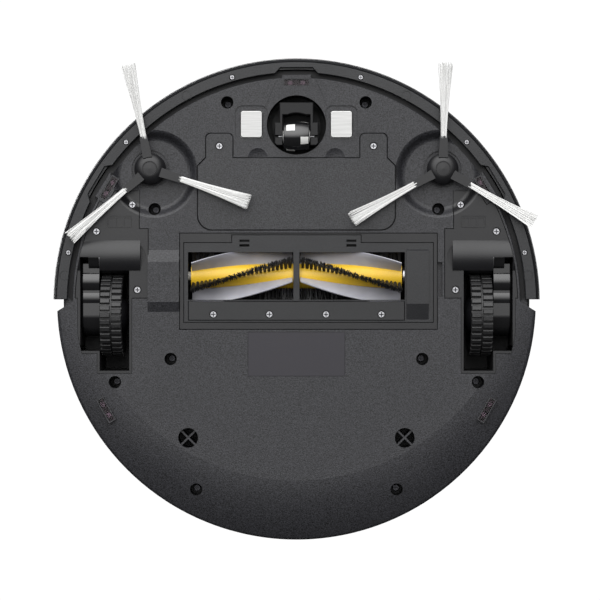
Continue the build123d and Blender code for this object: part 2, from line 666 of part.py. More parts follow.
    with BuildSketch(Plane.XY.offset(BASE_Z - 1)):
        with Locations(CROSS_WELLS):
            Circle(CROSS_WELL_RADIUS)
    extrude(amount=3.0, mode=Mode.SUBTRACT)
    with BuildSketch(Plane.XY.offset(BASE_Z - 1)):
        with Locations(SENSOR_PLACES):
            RectangleRounded(*SENSOR_SIZE, 0.8)
    extrude(amount=SENSOR_DEPTH + 1, mode=Mode.SUBTRACT)
    with BuildSketch(Plane.XY.offset(BASE_Z - 1)):
        rectangle((BAY_LEFT, BAY_RIGHT, BAY_FRONT, BAY_REAR), SEAM_GAP)
    extrude(amount=9, mode=Mode.SUBTRACT)
    with BuildSketch(Plane.XY.offset(BASE_Z - 1)):
        rectangle(FINGER_SLOT)
    extrude(amount=4.5, mode=Mode.SUBTRACT)
    with BuildSketch(Plane.XY.offset(BASE_Z - 1)):
        rectangle(LABEL_BOUNDS, FIT)
    extrude(amount=1.5, mode=Mode.SUBTRACT)
    for side in (-1, 1):
        with Locations((side * SCOOP_X, BATTERY_FRONT, BASE_Z + SCOOP_DEPTH - SCOOP_RADIUS)):
            Sphere(SCOOP_RADIUS, mode=Mode.SUBTRACT)
    # seam lines beside the middle front sensor
    with BuildSketch(Plane.XY.offset(BASE_Z)):
        for side in (-1, 1):
            Polygon(
                (side * 13.0, -149.0),
                (side * 13.6, -149.0),
                (side * 21.1, -131.0),
                (side * 20.5, -131.0),
                align=None,
            )
    extrude(amount=0.4, mode=Mode.SUBTRACT)
    # mouth of the dust bin
    with BuildSketch(Plane.XY.offset(BIN_FLOOR)):
        rectangle((-BIN_HALF_WIDTH - AIR, BIN_HALF_WIDTH + AIR, 120, FAR))
    extrude(amount=FAR, mode=Mode.SUBTRACT)
    # outlet slots of the fan in the rear skirt
    for angle in EXHAUST_ANGLES:
        place = Location((*on_circle(BODY_RADIUS, angle), EXHAUST_Z), (0, 0, angle))
        with Locations(place):
            Box(2.0, 4 * WALL, EXHAUST_HEIGHT, mode=Mode.SUBTRACT)
    # windows for the plungers of the bumper switches
    with BuildSketch(Plane.XZ.offset(FRONT_RADIUS * 0.6)):
        with Locations([(-SWITCH_X, SWITCH_Z), (SWITCH_X, SWITCH_Z)]):
            Rectangle(5.0, 4.0)
    extrude(amount=FAR, mode=Mode.SUBTRACT)
export(bottom_housing.part, "bottom_housing")

# ================= Upper housing, its panel and the power button
with BuildPart() as top_housing:
    with BuildSketch(Plane.XY.offset(SEAM_Z)):
        Circle(BODY_RADIUS)
    extrude(amount=SHELL_TOP - SEAM_Z)
    fillet(top_housing.edges().group_by(Axis.Z)[-1], SHOULDER_FILLET)
    with BuildSketch(Plane.XY.offset(SEAM_Z)):
        Circle(BODY_RADIUS - WALL)
    extrude(amount=SHELL_TOP - SHOULDER_FILLET - SEAM_Z, mode=Mode.SUBTRACT)
    with BuildSketch(Plane.XY.offset(SHELL_TOP - SHOULDER_FILLET)):
        Circle(BODY_RADIUS - WALL)
    extrude(amount=SHOULDER_FILLET - 1.5 * WALL, taper=45, mode=Mode.SUBTRACT)
    # posts that the long housing screws bite into
    with BuildSketch(Plane.XY.offset(WELL_ROOF_Z + WALL)):
        with Locations(HOUSING_WELLS):
            Circle(3.5)
    extrude(amount=SHELL_TOP - WALL - WELL_ROOF_Z - WALL)
    with BuildSketch(Plane.XY.offset(WELL_ROOF_Z)):
        with Locations(HOUSING_WELLS):
            Circle(SCREW_RADIUS)
    extrude(amount=2 * SCREW_LENGTH, mode=Mode.SUBTRACT)
    # seat of the panel and hole of the button
    with BuildSketch(Plane.XY.offset(PANEL_SEAT)):
        Circle(PANEL_RADIUS + FIT)
    extrude(amount=FAR, mode=Mode.SUBTRACT)
    with BuildSketch(Plane((0, BUTTON_Y, SEAM_Z))):
        Circle(BUTTON_RADIUS - 2)
    extrude(amount=FAR, mode=Mode.SUBTRACT)
export(top_housing.part, "top_housing")

with BuildPart() as top_panel:
    with BuildSketch(Plane.XY.offset(PANEL_SEAT)):
        Circle(PANEL_RADIUS)
    extrude(amount=PANEL_THICKNESS)
    fillet(top_panel.edges().group_by(Axis.Z)[-1], 0.8)
    with BuildSketch(Plane((0, BUTTON_Y, PANEL_SEAT))):
        Circle(BUTTON_RADIUS + AIR)
    extrude(amount=PANEL_THICKNESS, mode=Mode.SUBTRACT)
export(top_panel.part, "top_panel")

with BuildPart() as power_button:
    with BuildSketch(Plane((0, BUTTON_Y, PANEL_SEAT + BUTTON_TRAVEL + AIR))):
        Circle(BUTTON_RADIUS)
    extrude(amount=BODY_HEIGHT + 0.6 - PANEL_SEAT - BUTTON_TRAVEL - AIR)
    fillet(power_button.edges().group_by(Axis.Z)[-1], 0.5)
    with BuildSketch(Plane((0, BUTTON_Y, PANEL_SEAT + BUTTON_TRAVEL + AIR))):
        Circle(BUTTON_RADIUS - 2 - AIR)
    extrude(amount=-(WALL + 2.5))
export(power_button.part, "power_button")

# ================= Bumper
def bumper_steps(mode=Mode.SUBTRACT):
    """Notches in the bumper's inner edge round the front sensors."""
    for angle in FRONT_SENSOR_ANGLES:
        with Locations(Location((*on_circle(FLANGE_RADIUS, angle), 0), (0, 0, angle))):
            Polygon((-16.5, 3), (-10.8, -3.3), (10.8, -3.3), (16.5, 3), align=None, mode=mode)


def bumper_flange(outer):
    """The flat ring under the bumper, open behind its two ends."""
    Circle(outer)
    Circle(FLANGE_RADIUS, mode=Mode.SUBTRACT)
    bumper_steps()
    with Locations((0, BUMPER_END_Y)):
        Rectangle(2 * FAR, FAR, align=(Align.CENTER, Align.MAX), mode=Mode.INTERSECT)


with BuildPart() as bumper_base_ring:
    with BuildSketch(Plane.XY.offset(RING_Z)):
        bumper_flange(BODY_RADIUS)
    extrude(amount=RING_THICKNESS)
    chamfer(bumper_base_ring.edges().group_by(Axis.Z)[0], 0.4)
    with BuildSketch(Plane.XY.offset(RING_Z)):
        with Locations(BUMPER_SCREWS):
            Circle(BUMPER_HEAD_RADIUS + 0.3)
    extrude(amount=RING_THICKNESS / 2, mode=Mode.SUBTRACT)
    with BuildSketch(Plane.XY.offset(RING_Z)):
        with Locations(BUMPER_SCREWS):
            Circle(SCREW_RADIUS)
        for angle in PLUG_ANGLES:
            with Locations(Location((*on_circle(BUMPER_SCREW_RADIUS, angle), 0), (0, 0, angle))):
                RegularPolygon(PLUG_RADIUS, 8)
                RegularPolygon(PLUG_RADIUS - 0.5, 8, mode=Mode.SUBTRACT)
    extrude(amount=0.5, mode=Mode.SUBTRACT)
    with BuildSketch(Plane.XY.offset(RING_Z)):
        with Locations(BUMPER_SCREWS):
            Circle(SCREW_RADIUS)
    extrude(amount=RING_THICKNESS, mode=Mode.SUBTRACT)
export(bumper_base_ring.part, "bumper_base_ring")

WINDOW_Z = (25.0, 45.0)
WINDOW_DEPTH = 1.0
WINDOW_HALF_WIDTH = 128.0
with BuildPart() as bumper_shell:
    with BuildSketch(Plane.XZ):
        inner = BUMPER_RADIUS - BUMPER_WALL
        Polygon(
            (BODY_RADIUS + 0.3, RING_Z),
            (BUMPER_RADIUS - 1.4, RING_Z + 3.4),
            (BUMPER_RADIUS, RING_Z + 11),
            (BUMPER_RADIUS, BUMPER_TOP - 8),
            (BUMPER_RADIUS - 1.2, BUMPER_TOP - 1),
            (BUMPER_RADIUS - 2.2, BUMPER_TOP),
            (BODY_RADIUS - 1, BUMPER_TOP),
            (BODY_RADIUS - 1, BUMPER_TOP - 1.8),
            (inner, BUMPER_TOP - 4),
            (inner, RING_Z + 11),
            (inner - 1.2, SHELL_FLANGE_Z + 1.8),
            (BODY_RADIUS - 5, SHELL_FLANGE_Z + 1.8),
            (BODY_RADIUS - 5, SHELL_FLANGE_Z),
            (BODY_RADIUS + 0.3, SHELL_FLANGE_Z),
            align=None,
        )
    revolve(axis=Axis.Z)
    # inner part of the flange, which the base ring is screwed to
    with BuildSketch(Plane.XY.offset(SHELL_FLANGE_Z)):
        bumper_flange(BODY_RADIUS - 4)
    extrude(amount=1.8)
    with BuildSketch(Plane.XY.offset(SHELL_FLANGE_Z)):
        with Locations(BUMPER_SCREWS):
            Circle(SCREW_RADIUS)
    extrude(amount=1.8, mode=Mode.SUBTRACT)
    with BuildSketch(Plane.XY):
        with Locations((0, BUMPER_END_Y)):
            Rectangle(2 * FAR, FAR, align=(Align.CENTER, Align.MIN))
    extrude(amount=FAR, mode=Mode.SUBTRACT)
    # band that the sensor window is let into
    with BuildSketch(Plane.XY.offset(WINDOW_Z[0])):
        Circle(FAR)
        Circle(BUMPER_RADIUS - WINDOW_DEPTH, mode=Mode.SUBTRACT)
        with Locations((0, -BUMPER_RADIUS)):
            Rectangle(2 * WINDOW_HALF_WIDTH, 2 * WINDOW_HALF_WIDTH, mode=Mode.INTERSECT)
    extrude(amount=WINDOW_Z[1] - WINDOW_Z[0], mode=Mode.SUBTRACT)
export(bumper_shell.part, "bumper_shell")

with BuildPart() as bumper_window:
    with BuildSketch(Plane.XY.offset(WINDOW_Z[0] + FIT / 2)):
        Circle(BUMPER_RADIUS)
        Circle(BUMPER_RADIUS - WINDOW_DEPTH, mode=Mode.SUBTRACT)
        with Locations((0, -BUMPER_RADIUS)):
            side = 2 * (WINDOW_HALF_WIDTH - FIT)
            Rectangle(side, side, mode=Mode.INTERSECT)
    extrude(amount=WINDOW_Z[1] - WINDOW_Z[0] - FIT)
export(bumper_window.part, "bumper_window")

bumper_screws = [screw(x, y, RING_Z - 0.4, BUMPER_HEAD_RADIUS, BUMPER_SCREW_LENGTH) for x, y in BUMPER_SCREWS]
export(bumper_screws[0], "bumper_screws", *bumper_screws[1:])


def ring_stack(plane, radius, wire, turns, pitch):
    """A close-wound coil spring, as touching rings along the plane's normal."""
    with BuildPart() as coil:
        for turn in range(turns):
            centre = plane.offset(wire + turn * pitch)
            with BuildSketch(Plane(centre.origin, x_dir=centre.x_dir, z_dir=centre.y_dir)):
                with Locations((radius, 0)):
                    Circle(wire)
            revolve(axis=Axis(centre.origin, centre.z_dir))
    return coil.part


SPRING_COIL, SPRING_WIRE, SPRING_TURNS = 2.6, 0.45, 7
SPRING_REACH = SPRING_COIL + SPRING_WIRE
SPRING_START = -((FRONT_RADIUS**2 - (SPRING_X - SPRING_REACH) ** 2) ** 0.5) - 0.1
SPRING_END = -(((BUMPER_RADIUS - BUMPER_WALL) ** 2 - (SPRING_X + SPRING_REACH) ** 2) ** 0.5) + 0.1
SPRING_PITCH = (SPRING_START - SPRING_END - 2 * SPRING_WIRE) / (SPRING_TURNS - 1)
bumper_springs = [
    ring_stack(
        Plane((x, SPRING_START, SPRING_Z), x_dir=(1, 0, 0), z_dir=(0, -1, 0)),
        SPRING_COIL,
        SPRING_WIRE,
        SPRING_TURNS,
        SPRING_PITCH,
    )
    for x in (-SPRING_X, SPRING_X)
]
export(bumper_springs[0], "bumper_springs", bumper_springs[1])

# ================= Caster
ROLLER_Y = CASTER_Y + CASTER_TRAIL
ROLLER_HALF = CASTER_ROLLER_WIDTH / 2
FORK_BOTTOM = 6.5
FORK_SLOT = ROLLER_HALF + AIR
PRONG_OUTER = 11.4
LOBE_OUTER = 14.7
with BuildPart() as caster_fork:
    # the front wall, hollow towards the roller, and on each side a prong and a lobe
    with BuildSketch(Plane((0, CASTER_Y, FORK_BOTTOM))):
        rectangle((-PRONG_OUTER, PRONG_OUTER, -14.9, -6.7))
        with Locations((0, CASTER_TRAIL)):
            Circle(15.6, mode=Mode.SUBTRACT)
        for side in (-1, 1):
            with Locations((side * (FORK_SLOT + PRONG_OUTER) / 2, -7.2)):
                Rectangle(PRONG_OUTER - FORK_SLOT, 12)
            with Locations((side * (FORK_SLOT + LOBE_OUTER) / 2, 6.2)):
                Rectangle(LOBE_OUTER - FORK_SLOT, 15.4)
        Circle(CASTER_LOBE_RADIUS, mode=Mode.INTERSECT)
    extrude(amount=SOCKET_Z - 6 - FORK_BOTTOM)
    chamfer(caster_fork.edges().group_by(Axis.Z)[0], 0.5)
    with BuildSketch(Plane((0, CASTER_Y, SOCKET_Z - 6))):
        Circle(CASTER_FORK_RADIUS)
    extrude(amount=5.2)
    with BuildSketch(Plane((0, CASTER_Y, SOCKET_Z - 0.8))):
        Circle(CASTER_STEM_RADIUS)
    extrude(amount=CASTER_STEM_LENGTH)
    # bore of the axle, open downwards so that the axle snaps in
    with BuildSketch(Plane.YZ.offset(-FAR)):
        with Locations((ROLLER_Y, CASTER_ROLLER_RADIUS)):
            Circle(CASTER_AXLE_RADIUS + RUN)
            Rectangle(
                1.7 * CASTER_AXLE_RADIUS, 20, align=(Align.CENTER, Align.MAX)
            )
    extrude(amount=2 * FAR, mode=Mode.SUBTRACT)
export(caster_fork.part, "caster_fork")

with BuildPart() as caster_axle:
    with BuildSketch(Plane.YZ.offset(-12.2)):
        with Locations((ROLLER_Y, CASTER_ROLLER_RADIUS)):
            Circle(CASTER_AXLE_RADIUS)
    extrude(amount=24.4)
    chamfer(caster_axle.edges(), 0.2)
export(caster_axle.part, "caster_axle")

with BuildPart() as caster_roller:
    axle = (0, ROLLER_Y, CASTER_ROLLER_RADIUS)
    with BuildSketch(Plane(axle, x_dir=(1, 0, 0), z_dir=(0, -1, 0))):
        with BuildLine():
            barrel = ThreePointArc(
                (-ROLLER_HALF, ROLLER_END_RADIUS),
                (0, CASTER_ROLLER_RADIUS),
                (ROLLER_HALF, ROLLER_END_RADIUS),
            )
            Polyline(
                barrel @ 1,
                (ROLLER_HALF, CASTER_AXLE_RADIUS),
                (-ROLLER_HALF, CASTER_AXLE_RADIUS),
                barrel @ 0,
            )
        make_face()
    revolve(axis=Axis(axle, (1, 0, 0)))
    fillet(caster_roller.edges().filter_by(lambda e: e.length > 6 * ROLLER_END_RADIUS), 0.8)
export(caster_roller.part, "caster_roller")

# ================= Side brushes
HUB_BOTTOM = 4.4
HUB_TOP = DISH_Z - 0.5
ARM_Z = 5.0
ARM_THICKNESS = 3.6
SHANK_LENGTH = 14.0


def side_brush(x, y, phase):
    """The hub with three arms, and the three tufts of bristles, turned by phase."""
    with BuildPart() as hub:
        with BuildSketch(Plane((x, y, 0), x_dir=(1, 0, 0), z_dir=(0, -1, 0))):
            with BuildLine():
                side = Line((HUB_RADIUS, HUB_TOP), (HUB_RADIUS, HUB_BOTTOM + 4.5))
                dome = ThreePointArc(side @ 1, (8.0, HUB_BOTTOM + 1.4), (4.9, HUB_BOTTOM + 0.3))
                Polyline(
                    dome @ 1,
                    (4.9, HUB_BOTTOM + 0.9),
                    (4.4, HUB_BOTTOM + 0.9),
                    (4.4, HUB_BOTTOM + 0.2),
                    (0, HUB_BOTTOM),
                    (0, HUB_TOP),
                    side @ 0,
                )
            make_face()
        revolve(axis=Axis((x, y, 0), (0, 0, 1)))
        with BuildSketch(Plane((x, y, ARM_Z))):
            with PolarLocations(0, 3, phase):
                Polygon(
                    (HUB_RADIUS - 3, -3.2),
                    (ARM_REACH, -2.5),
                    (ARM_REACH, 2.5),
                    (HUB_RADIUS - 3, 3.2),
                    align=None,
                )
        extrude(amount=ARM_THICKNESS)
        with BuildSketch(Plane((x, y, HUB_TOP))):
            Circle(SHANK_RADIUS)
        extrude(amount=SHANK_LENGTH)
    tufts = []
    for turn in range(3):
        angle = radians(phase + 120 * turn)
        out = (cos(angle), sin(angle), 0)
        root = Plane((x + ARM_REACH * out[0], y + ARM_REACH * out[1], 6.5), z_dir=out)
        root = Plane(root.origin, x_dir=(-out[1], out[0], 0), z_dir=out)
        tip = Plane(
            (x + BRISTLE_REACH * out[0], y + BRISTLE_REACH * out[1], 0.95),
            x_dir=root.x_dir,
            z_dir=out,
        )
        with BuildPart() as tuft:
            with BuildSketch(root):
                Rectangle(4.4, 2.4)
            with BuildSketch(tip):
                Rectangle(9.5, 1.0)
            loft()
        tufts.append(tuft.part)
    return hub.part, tufts


for name, x, phase in (
    ("left", -SIDE_BRUSH_X, LEFT_BRUSH_PHASE),
    ("right", SIDE_BRUSH_X, RIGHT_BRUSH_PHASE),
):
    hub, tufts = side_brush(x, SIDE_BRUSH_Y, phase)
    export(hub, f"{name}_side_brush_hub")
    export(tufts[0], f"{name}_side_brush_bristles", *tufts[1:])

GEARCASE_Z = DISH_ROOF + FIT + WALL + AIR
GEARCASE_HEIGHT = 15.0
with BuildPart() as side_brush_motor:
    with BuildSketch(Plane((SIDE_BRUSH_X, SIDE_BRUSH_Y, DISH_ROOF))):
        Circle(SHANK_RADIUS + 6)
    extrude(amount=GEARCASE_Z - DISH_ROOF)
    with BuildSketch(Plane((SIDE_BRUSH_X, SIDE_BRUSH_Y, GEARCASE_Z))):
        RectangleRounded(21, 29, 3)
    extrude(amount=GEARCASE_HEIGHT)
    with BuildSketch(Plane((SIDE_BRUSH_X, SIDE_BRUSH_Y + 4, GEARCASE_Z + GEARCASE_HEIGHT))):
        Circle(8)
    extrude(amount=14)
    with BuildSketch(Plane((SIDE_BRUSH_X, SIDE_BRUSH_Y, DISH_ROOF))):
        Circle(SHANK_RADIUS + RUN)
    extrude(amount=SHANK_LENGTH, mode=Mode.SUBTRACT)
export(side_brush_motor.part, "side_brush_motors", mirrored(side_brush_motor.part))

# ================= Wheel modules, made on the right and mirrored to the left
def tapered_slot(y0, z0, r0, y1, z1, r1):
    """The outline of a belt round two circles, for the sketch that is open."""
    with BuildSketch(mode=Mode.PRIVATE) as circles:
        with Locations((y0, z0)):
            Circle(r0)
        with Locations((y1, z1)):
            Circle(r1)
    add(make_hull(circles.sketch.edges(), mode=Mode.PRIVATE))


ARM_WELL_ROOF = WHEEL_Z + ARM_WIDTH_RADIUS + 3
with BuildPart() as wheel_frame:
    with BuildSketch(Plane.XY.offset(BASE_Z)):
        module_plate()
    extrude(amount=WALL)
    with BuildSketch(Plane.XY.offset(BASE_Z)):
        module_plate()
        with Locations((DISH_X, DISH_Y)):
            Circle(DISH_RADIUS + WALL, mode=Mode.INTERSECT)
    extrude(amount=DISH_ROOF - BASE_Z)
    with BuildSketch(Plane.XY.offset(BASE_Z)):
        rectangle(TYRE_WELL, MODULE_WALL)
        Circle(MODULE_RADIUS, mode=Mode.INTERSECT)
    extrude(amount=WELL_ROOF + MODULE_WALL - BASE_Z)
    with BuildSketch(Plane.XY.offset(BASE_Z)):
        rectangle(ARM_WELL, MODULE_WALL)
        Circle(MODULE_RADIUS, mode=Mode.INTERSECT)
    extrude(amount=ARM_WELL_ROOF + MODULE_WALL - BASE_Z)
    with BuildSketch(Plane.XY.offset(BASE_Z - 1)):
        rectangle(TYRE_WELL)
    extrude(amount=WELL_ROOF - BASE_Z + 1, mode=Mode.SUBTRACT)
    # half-moon recess beside the bulge that houses the wheel's motor and pivot
    with BuildSketch(Plane((BULGE_LEFT + 5.4, PIVOT_Y, BASE_Z))):
        Circle(9)
    extrude(amount=1.6, mode=Mode.SUBTRACT)
    with BuildSketch(Plane.YZ.offset(BULGE_LEFT)):
        with Locations((PIVOT_Y, PIVOT_Z)):
            Circle(BULGE_RADIUS)
    extrude(amount=BULGE_RIGHT + 4 - BULGE_LEFT)
    with BuildSketch(Plane.YZ.offset(BULGE_LEFT)):
        with Locations((PIVOT_Y, BULGE_BOTTOM + BULGE_SKIRT_RADIUS)):
            Circle(BULGE_SKIRT_RADIUS)
        rectangle((PIVOT_Y - FAR, TYRE_WELL[2], 0, BASE_Z + 1), mode=Mode.INTERSECT)
    extrude(amount=BULGE_RIGHT + 4 - BULGE_LEFT)
    with BuildSketch(Plane.XY.offset(-FAR)):
        Circle(FAR)
        Circle(MODULE_RADIUS, mode=Mode.SUBTRACT)
    extrude(amount=2 * FAR, mode=Mode.SUBTRACT)
    with BuildSketch(Plane.YZ.offset(BULGE_LEFT + MODULE_WALL)):
        with Locations((PIVOT_Y, PIVOT_Z)):
            Circle(PIVOT_RADIUS + AIR)
    extrude(amount=ARM_NECK_X + AIR - BULGE_LEFT - MODULE_WALL, mode=Mode.SUBTRACT)
    with BuildSketch(Plane.XY.offset(-10)):
        rectangle(ARM_WELL)
    extrude(amount=ARM_WELL_ROOF + 10, mode=Mode.SUBTRACT)
    # bearings of the pivot in the two ends of the bulge
    with BuildSketch(Plane.YZ.offset(BULGE_LEFT + 0.4)):
        with Locations((PIVOT_Y, PIVOT_Z)):
            Circle(TRUNNION_RADIUS + RUN)
    extrude(amount=BULGE_RIGHT - 1 - BULGE_LEFT, mode=Mode.SUBTRACT)
    # pockets and holes of the screws
    add(bowl.part, mode=Mode.SUBTRACT)
    with BuildSketch(Plane.XY.offset(BASE_Z - 1)):
        with Locations(DISH_SCREW):
            Circle(HEAD_POCKET)
    extrude(amount=DISH_ROOF - WALL + 0.2 - BASE_Z + 1, mode=Mode.SUBTRACT)
    with BuildSketch(Plane.XY.offset(BASE_Z - 1)):
        with Locations(PLATE_SCREWS):
            Circle(HEAD_POCKET)
    extrude(amount=1 + HEAD_HEIGHT + 0.1, mode=Mode.SUBTRACT)
    with BuildSketch(Plane.XY.offset(BASE_Z)):
        with Locations([DISH_SCREW] + PLATE_SCREWS):
            Circle(SCREW_RADIUS + 0.1)
    extrude(amount=10, mode=Mode.SUBTRACT)
    # a plain bar mark in a shallow frame
    with BuildSketch(Plane.XY.offset(BASE_Z)):
        with Locations((WHEEL_X - 5.6, -53.6)):
            RectangleRounded(16.8, 8.1, 1.2)
            RectangleRounded(16.0, 7.3, 0.8, mode=Mode.SUBTRACT)
            with GridLocations(5.2, 0, 3, 1):
                RectangleRounded(4.2, 5.6, 0.4)
    extrude(amount=0.5, mode=Mode.SUBTRACT)
export(wheel_frame.part, "right_wheel_frame")
export(mirrored(wheel_frame.part), "left_wheel_frame")

with BuildPart() as arm_case:
    with BuildSketch(Plane.YZ.offset(ARM_INNER_X)):
        tapered_slot(PIVOT_Y, PIVOT_Z, ARM_NECK_RADIUS, WHEEL_Y, WHEEL_Z, ARM_WIDTH_RADIUS)
        with Locations((PIVOT_Y + 17, PIVOT_Z + 3.6)):
            Circle(10.2)
        with Locations((PIVOT_Y + 28, PIVOT_Z + 7.2)):
            Circle(12.2)
    extrude(amount=ARM_OUTER_X - ARM_INNER_X)
    with BuildSketch(Plane.YZ.offset(ARM_NECK_X)):
        rectangle((-FAR, PIVOT_Y + 5.1, -FAR, FAR))
    extrude(amount=FAR, mode=Mode.SUBTRACT)
    chamfer(arm_case.faces().sort_by(Axis.X)[-1].edges(), 1.2)
    with BuildSketch(Plane.YZ.offset(ARM_INNER_X)):
        with Locations((PIVOT_Y, PIVOT_Z)):
            Circle(PIVOT_RADIUS)
    extrude(amount=ARM_NECK_X - ARM_INNER_X)
    with BuildSketch(Plane.YZ.offset(ARM_NECK_X)):
        with Locations((PIVOT_Y, PIVOT_Z)):
            Circle(TRUNNION_RADIUS)
    extrude(amount=BULGE_RIGHT - 1 - ARM_NECK_X)
    # bore of the wheel's axle
    with BuildSketch(Plane.YZ.offset(ARM_INNER_X)):
        with Locations((WHEEL_Y, WHEEL_Z)):
            Circle(AXLE_RADIUS + RUN)
    extrude(amount=ARM_OUTER_X - 1.5 - ARM_INNER_X, mode=Mode.SUBTRACT)
export(arm_case.part, "right_arm_case")
export(mirrored(arm_case.part), "left_arm_case")

with BuildPart() as drive_motor:
    with BuildSketch(Plane.YZ.offset(MOTOR_LEFT)):
        with Locations((PIVOT_Y, PIVOT_Z)):
            Circle(MOTOR_RADIUS)
    extrude(amount=ARM_INNER_X - MOTOR_LEFT)
    chamfer(drive_motor.edges().group_by(Axis.X)[0], 0.8)
    with BuildSketch(Plane.YZ.offset(MOTOR_LEFT)):
        with Locations((PIVOT_Y, PIVOT_Z)):
            Circle(TRUNNION_RADIUS)
    extrude(amount=BULGE_LEFT + 0.8 - MOTOR_LEFT)
export(drive_motor.part, "right_drive_motor")
export(mirrored(drive_motor.part), "left_drive_motor")

RIM_RADIUS = WHEEL_RADIUS - TYRE_DEPTH
TYRE_LEFT = WHEEL_X - TYRE_WIDTH / 2
TYRE_RIGHT = WHEEL_X + TYRE_WIDTH / 2
WHEEL_AXIS = Axis((0, WHEEL_Y, WHEEL_Z), (1, 0, 0))
with BuildPart() as wheel_hub:
    with BuildSketch(Plane((0, WHEEL_Y, WHEEL_Z), x_dir=(1, 0, 0), z_dir=(0, -1, 0))):
        with BuildLine():
            foot = Polyline(
                (TYRE_RIGHT, AXLE_RADIUS),
                (TYRE_RIGHT, 7),
                (TYRE_RIGHT - 3, 7),
                (TYRE_RIGHT - 3, RIM_RADIUS - 3),
                (TYRE_RIGHT, RIM_RADIUS - 3),
                (TYRE_RIGHT, RIM_RADIUS),
                (TYRE_LEFT, RIM_RADIUS),
                (TYRE_LEFT, RIM_RADIUS - 2),
                (TYRE_LEFT + 1.5, RIM_RADIUS - 4),
                (TYRE_LEFT + 1.0, 12),
            )
            dome = ThreePointArc(foot @ 1, (TYRE_LEFT - 2.4, 8.5), (TYRE_LEFT - 3.6, 5))
            Polyline(dome @ 1, (TYRE_LEFT - 3.6, AXLE_RADIUS), foot @ 0)
        make_face()
    revolve(axis=WHEEL_AXIS)
export(wheel_hub.part, "right_wheel_hub")
export(mirrored(wheel_hub.part), "left_wheel_hub")

with BuildPart() as tyre:
    with BuildSketch(Plane((0, WHEEL_Y, WHEEL_Z), x_dir=(1, 0, 0), z_dir=(0, -1, 0))):
        rectangle((TYRE_LEFT, TYRE_RIGHT, RIM_RADIUS, WHEEL_RADIUS))
    revolve(axis=WHEEL_AXIS)
    chamfer(tyre.edges().filter_by(lambda e: e.length > 6.2 * (WHEEL_RADIUS - 0.1)), 0.6)
export(tyre.part, "right_tyre")
export(mirrored(tyre.part), "left_tyre")

with BuildPart() as wheel_axle:
    with BuildSketch(Plane.YZ.offset(TYRE_LEFT - 4.4)):
        with Locations((WHEEL_Y, WHEEL_Z)):
            Circle(AXLE_RADIUS)
    extrude(amount=ARM_OUTER_X - 2 - TYRE_LEFT + 4.4)
    chamfer(wheel_axle.edges(), 0.3)
export(wheel_axle.part, "right_wheel_axle")
export(mirrored(wheel_axle.part), "left_wheel_axle")

wheel_spring = ring_stack(
    Plane((BULGE_LEFT + MODULE_WALL, PIVOT_Y, PIVOT_Z), x_dir=(0, 1, 0), z_dir=(1, 0, 0)),
    6.5,
    0.6,
    4,
    1.05,
)
export(wheel_spring, "wheel_springs", mirrored(wheel_spring))

# ================= Roller brush module
def gear(plane, teeth, phase, width, bore=0.0):
    """A spur gear on the plane; a tooth points phase degrees from the plane's x."""
    pitch = GEAR_MODULE * teeth / 2
    root, tip = pitch - 1.2 * GEAR_MODULE, pitch + 0.85 * GEAR_MODULE
    with BuildPart() as wheel:
        with BuildSketch(plane):
            Circle(root)
            with PolarLocations(0, teeth, phase):
                Polygon(
                    (root - 0.5, -1.05),
                    (root, -0.98),
                    (pitch, -0.6),
                    (tip, -0.3),
                    (tip, 0.3),
                    (pitch, 0.6),
                    (root, 0.98),
                    (root - 0.5, 1.05),
                    align=None,
                )
            if bore:
                Circle(bore, mode=Mode.SUBTRACT)
        extrude(amount=width)
    return wheel.part


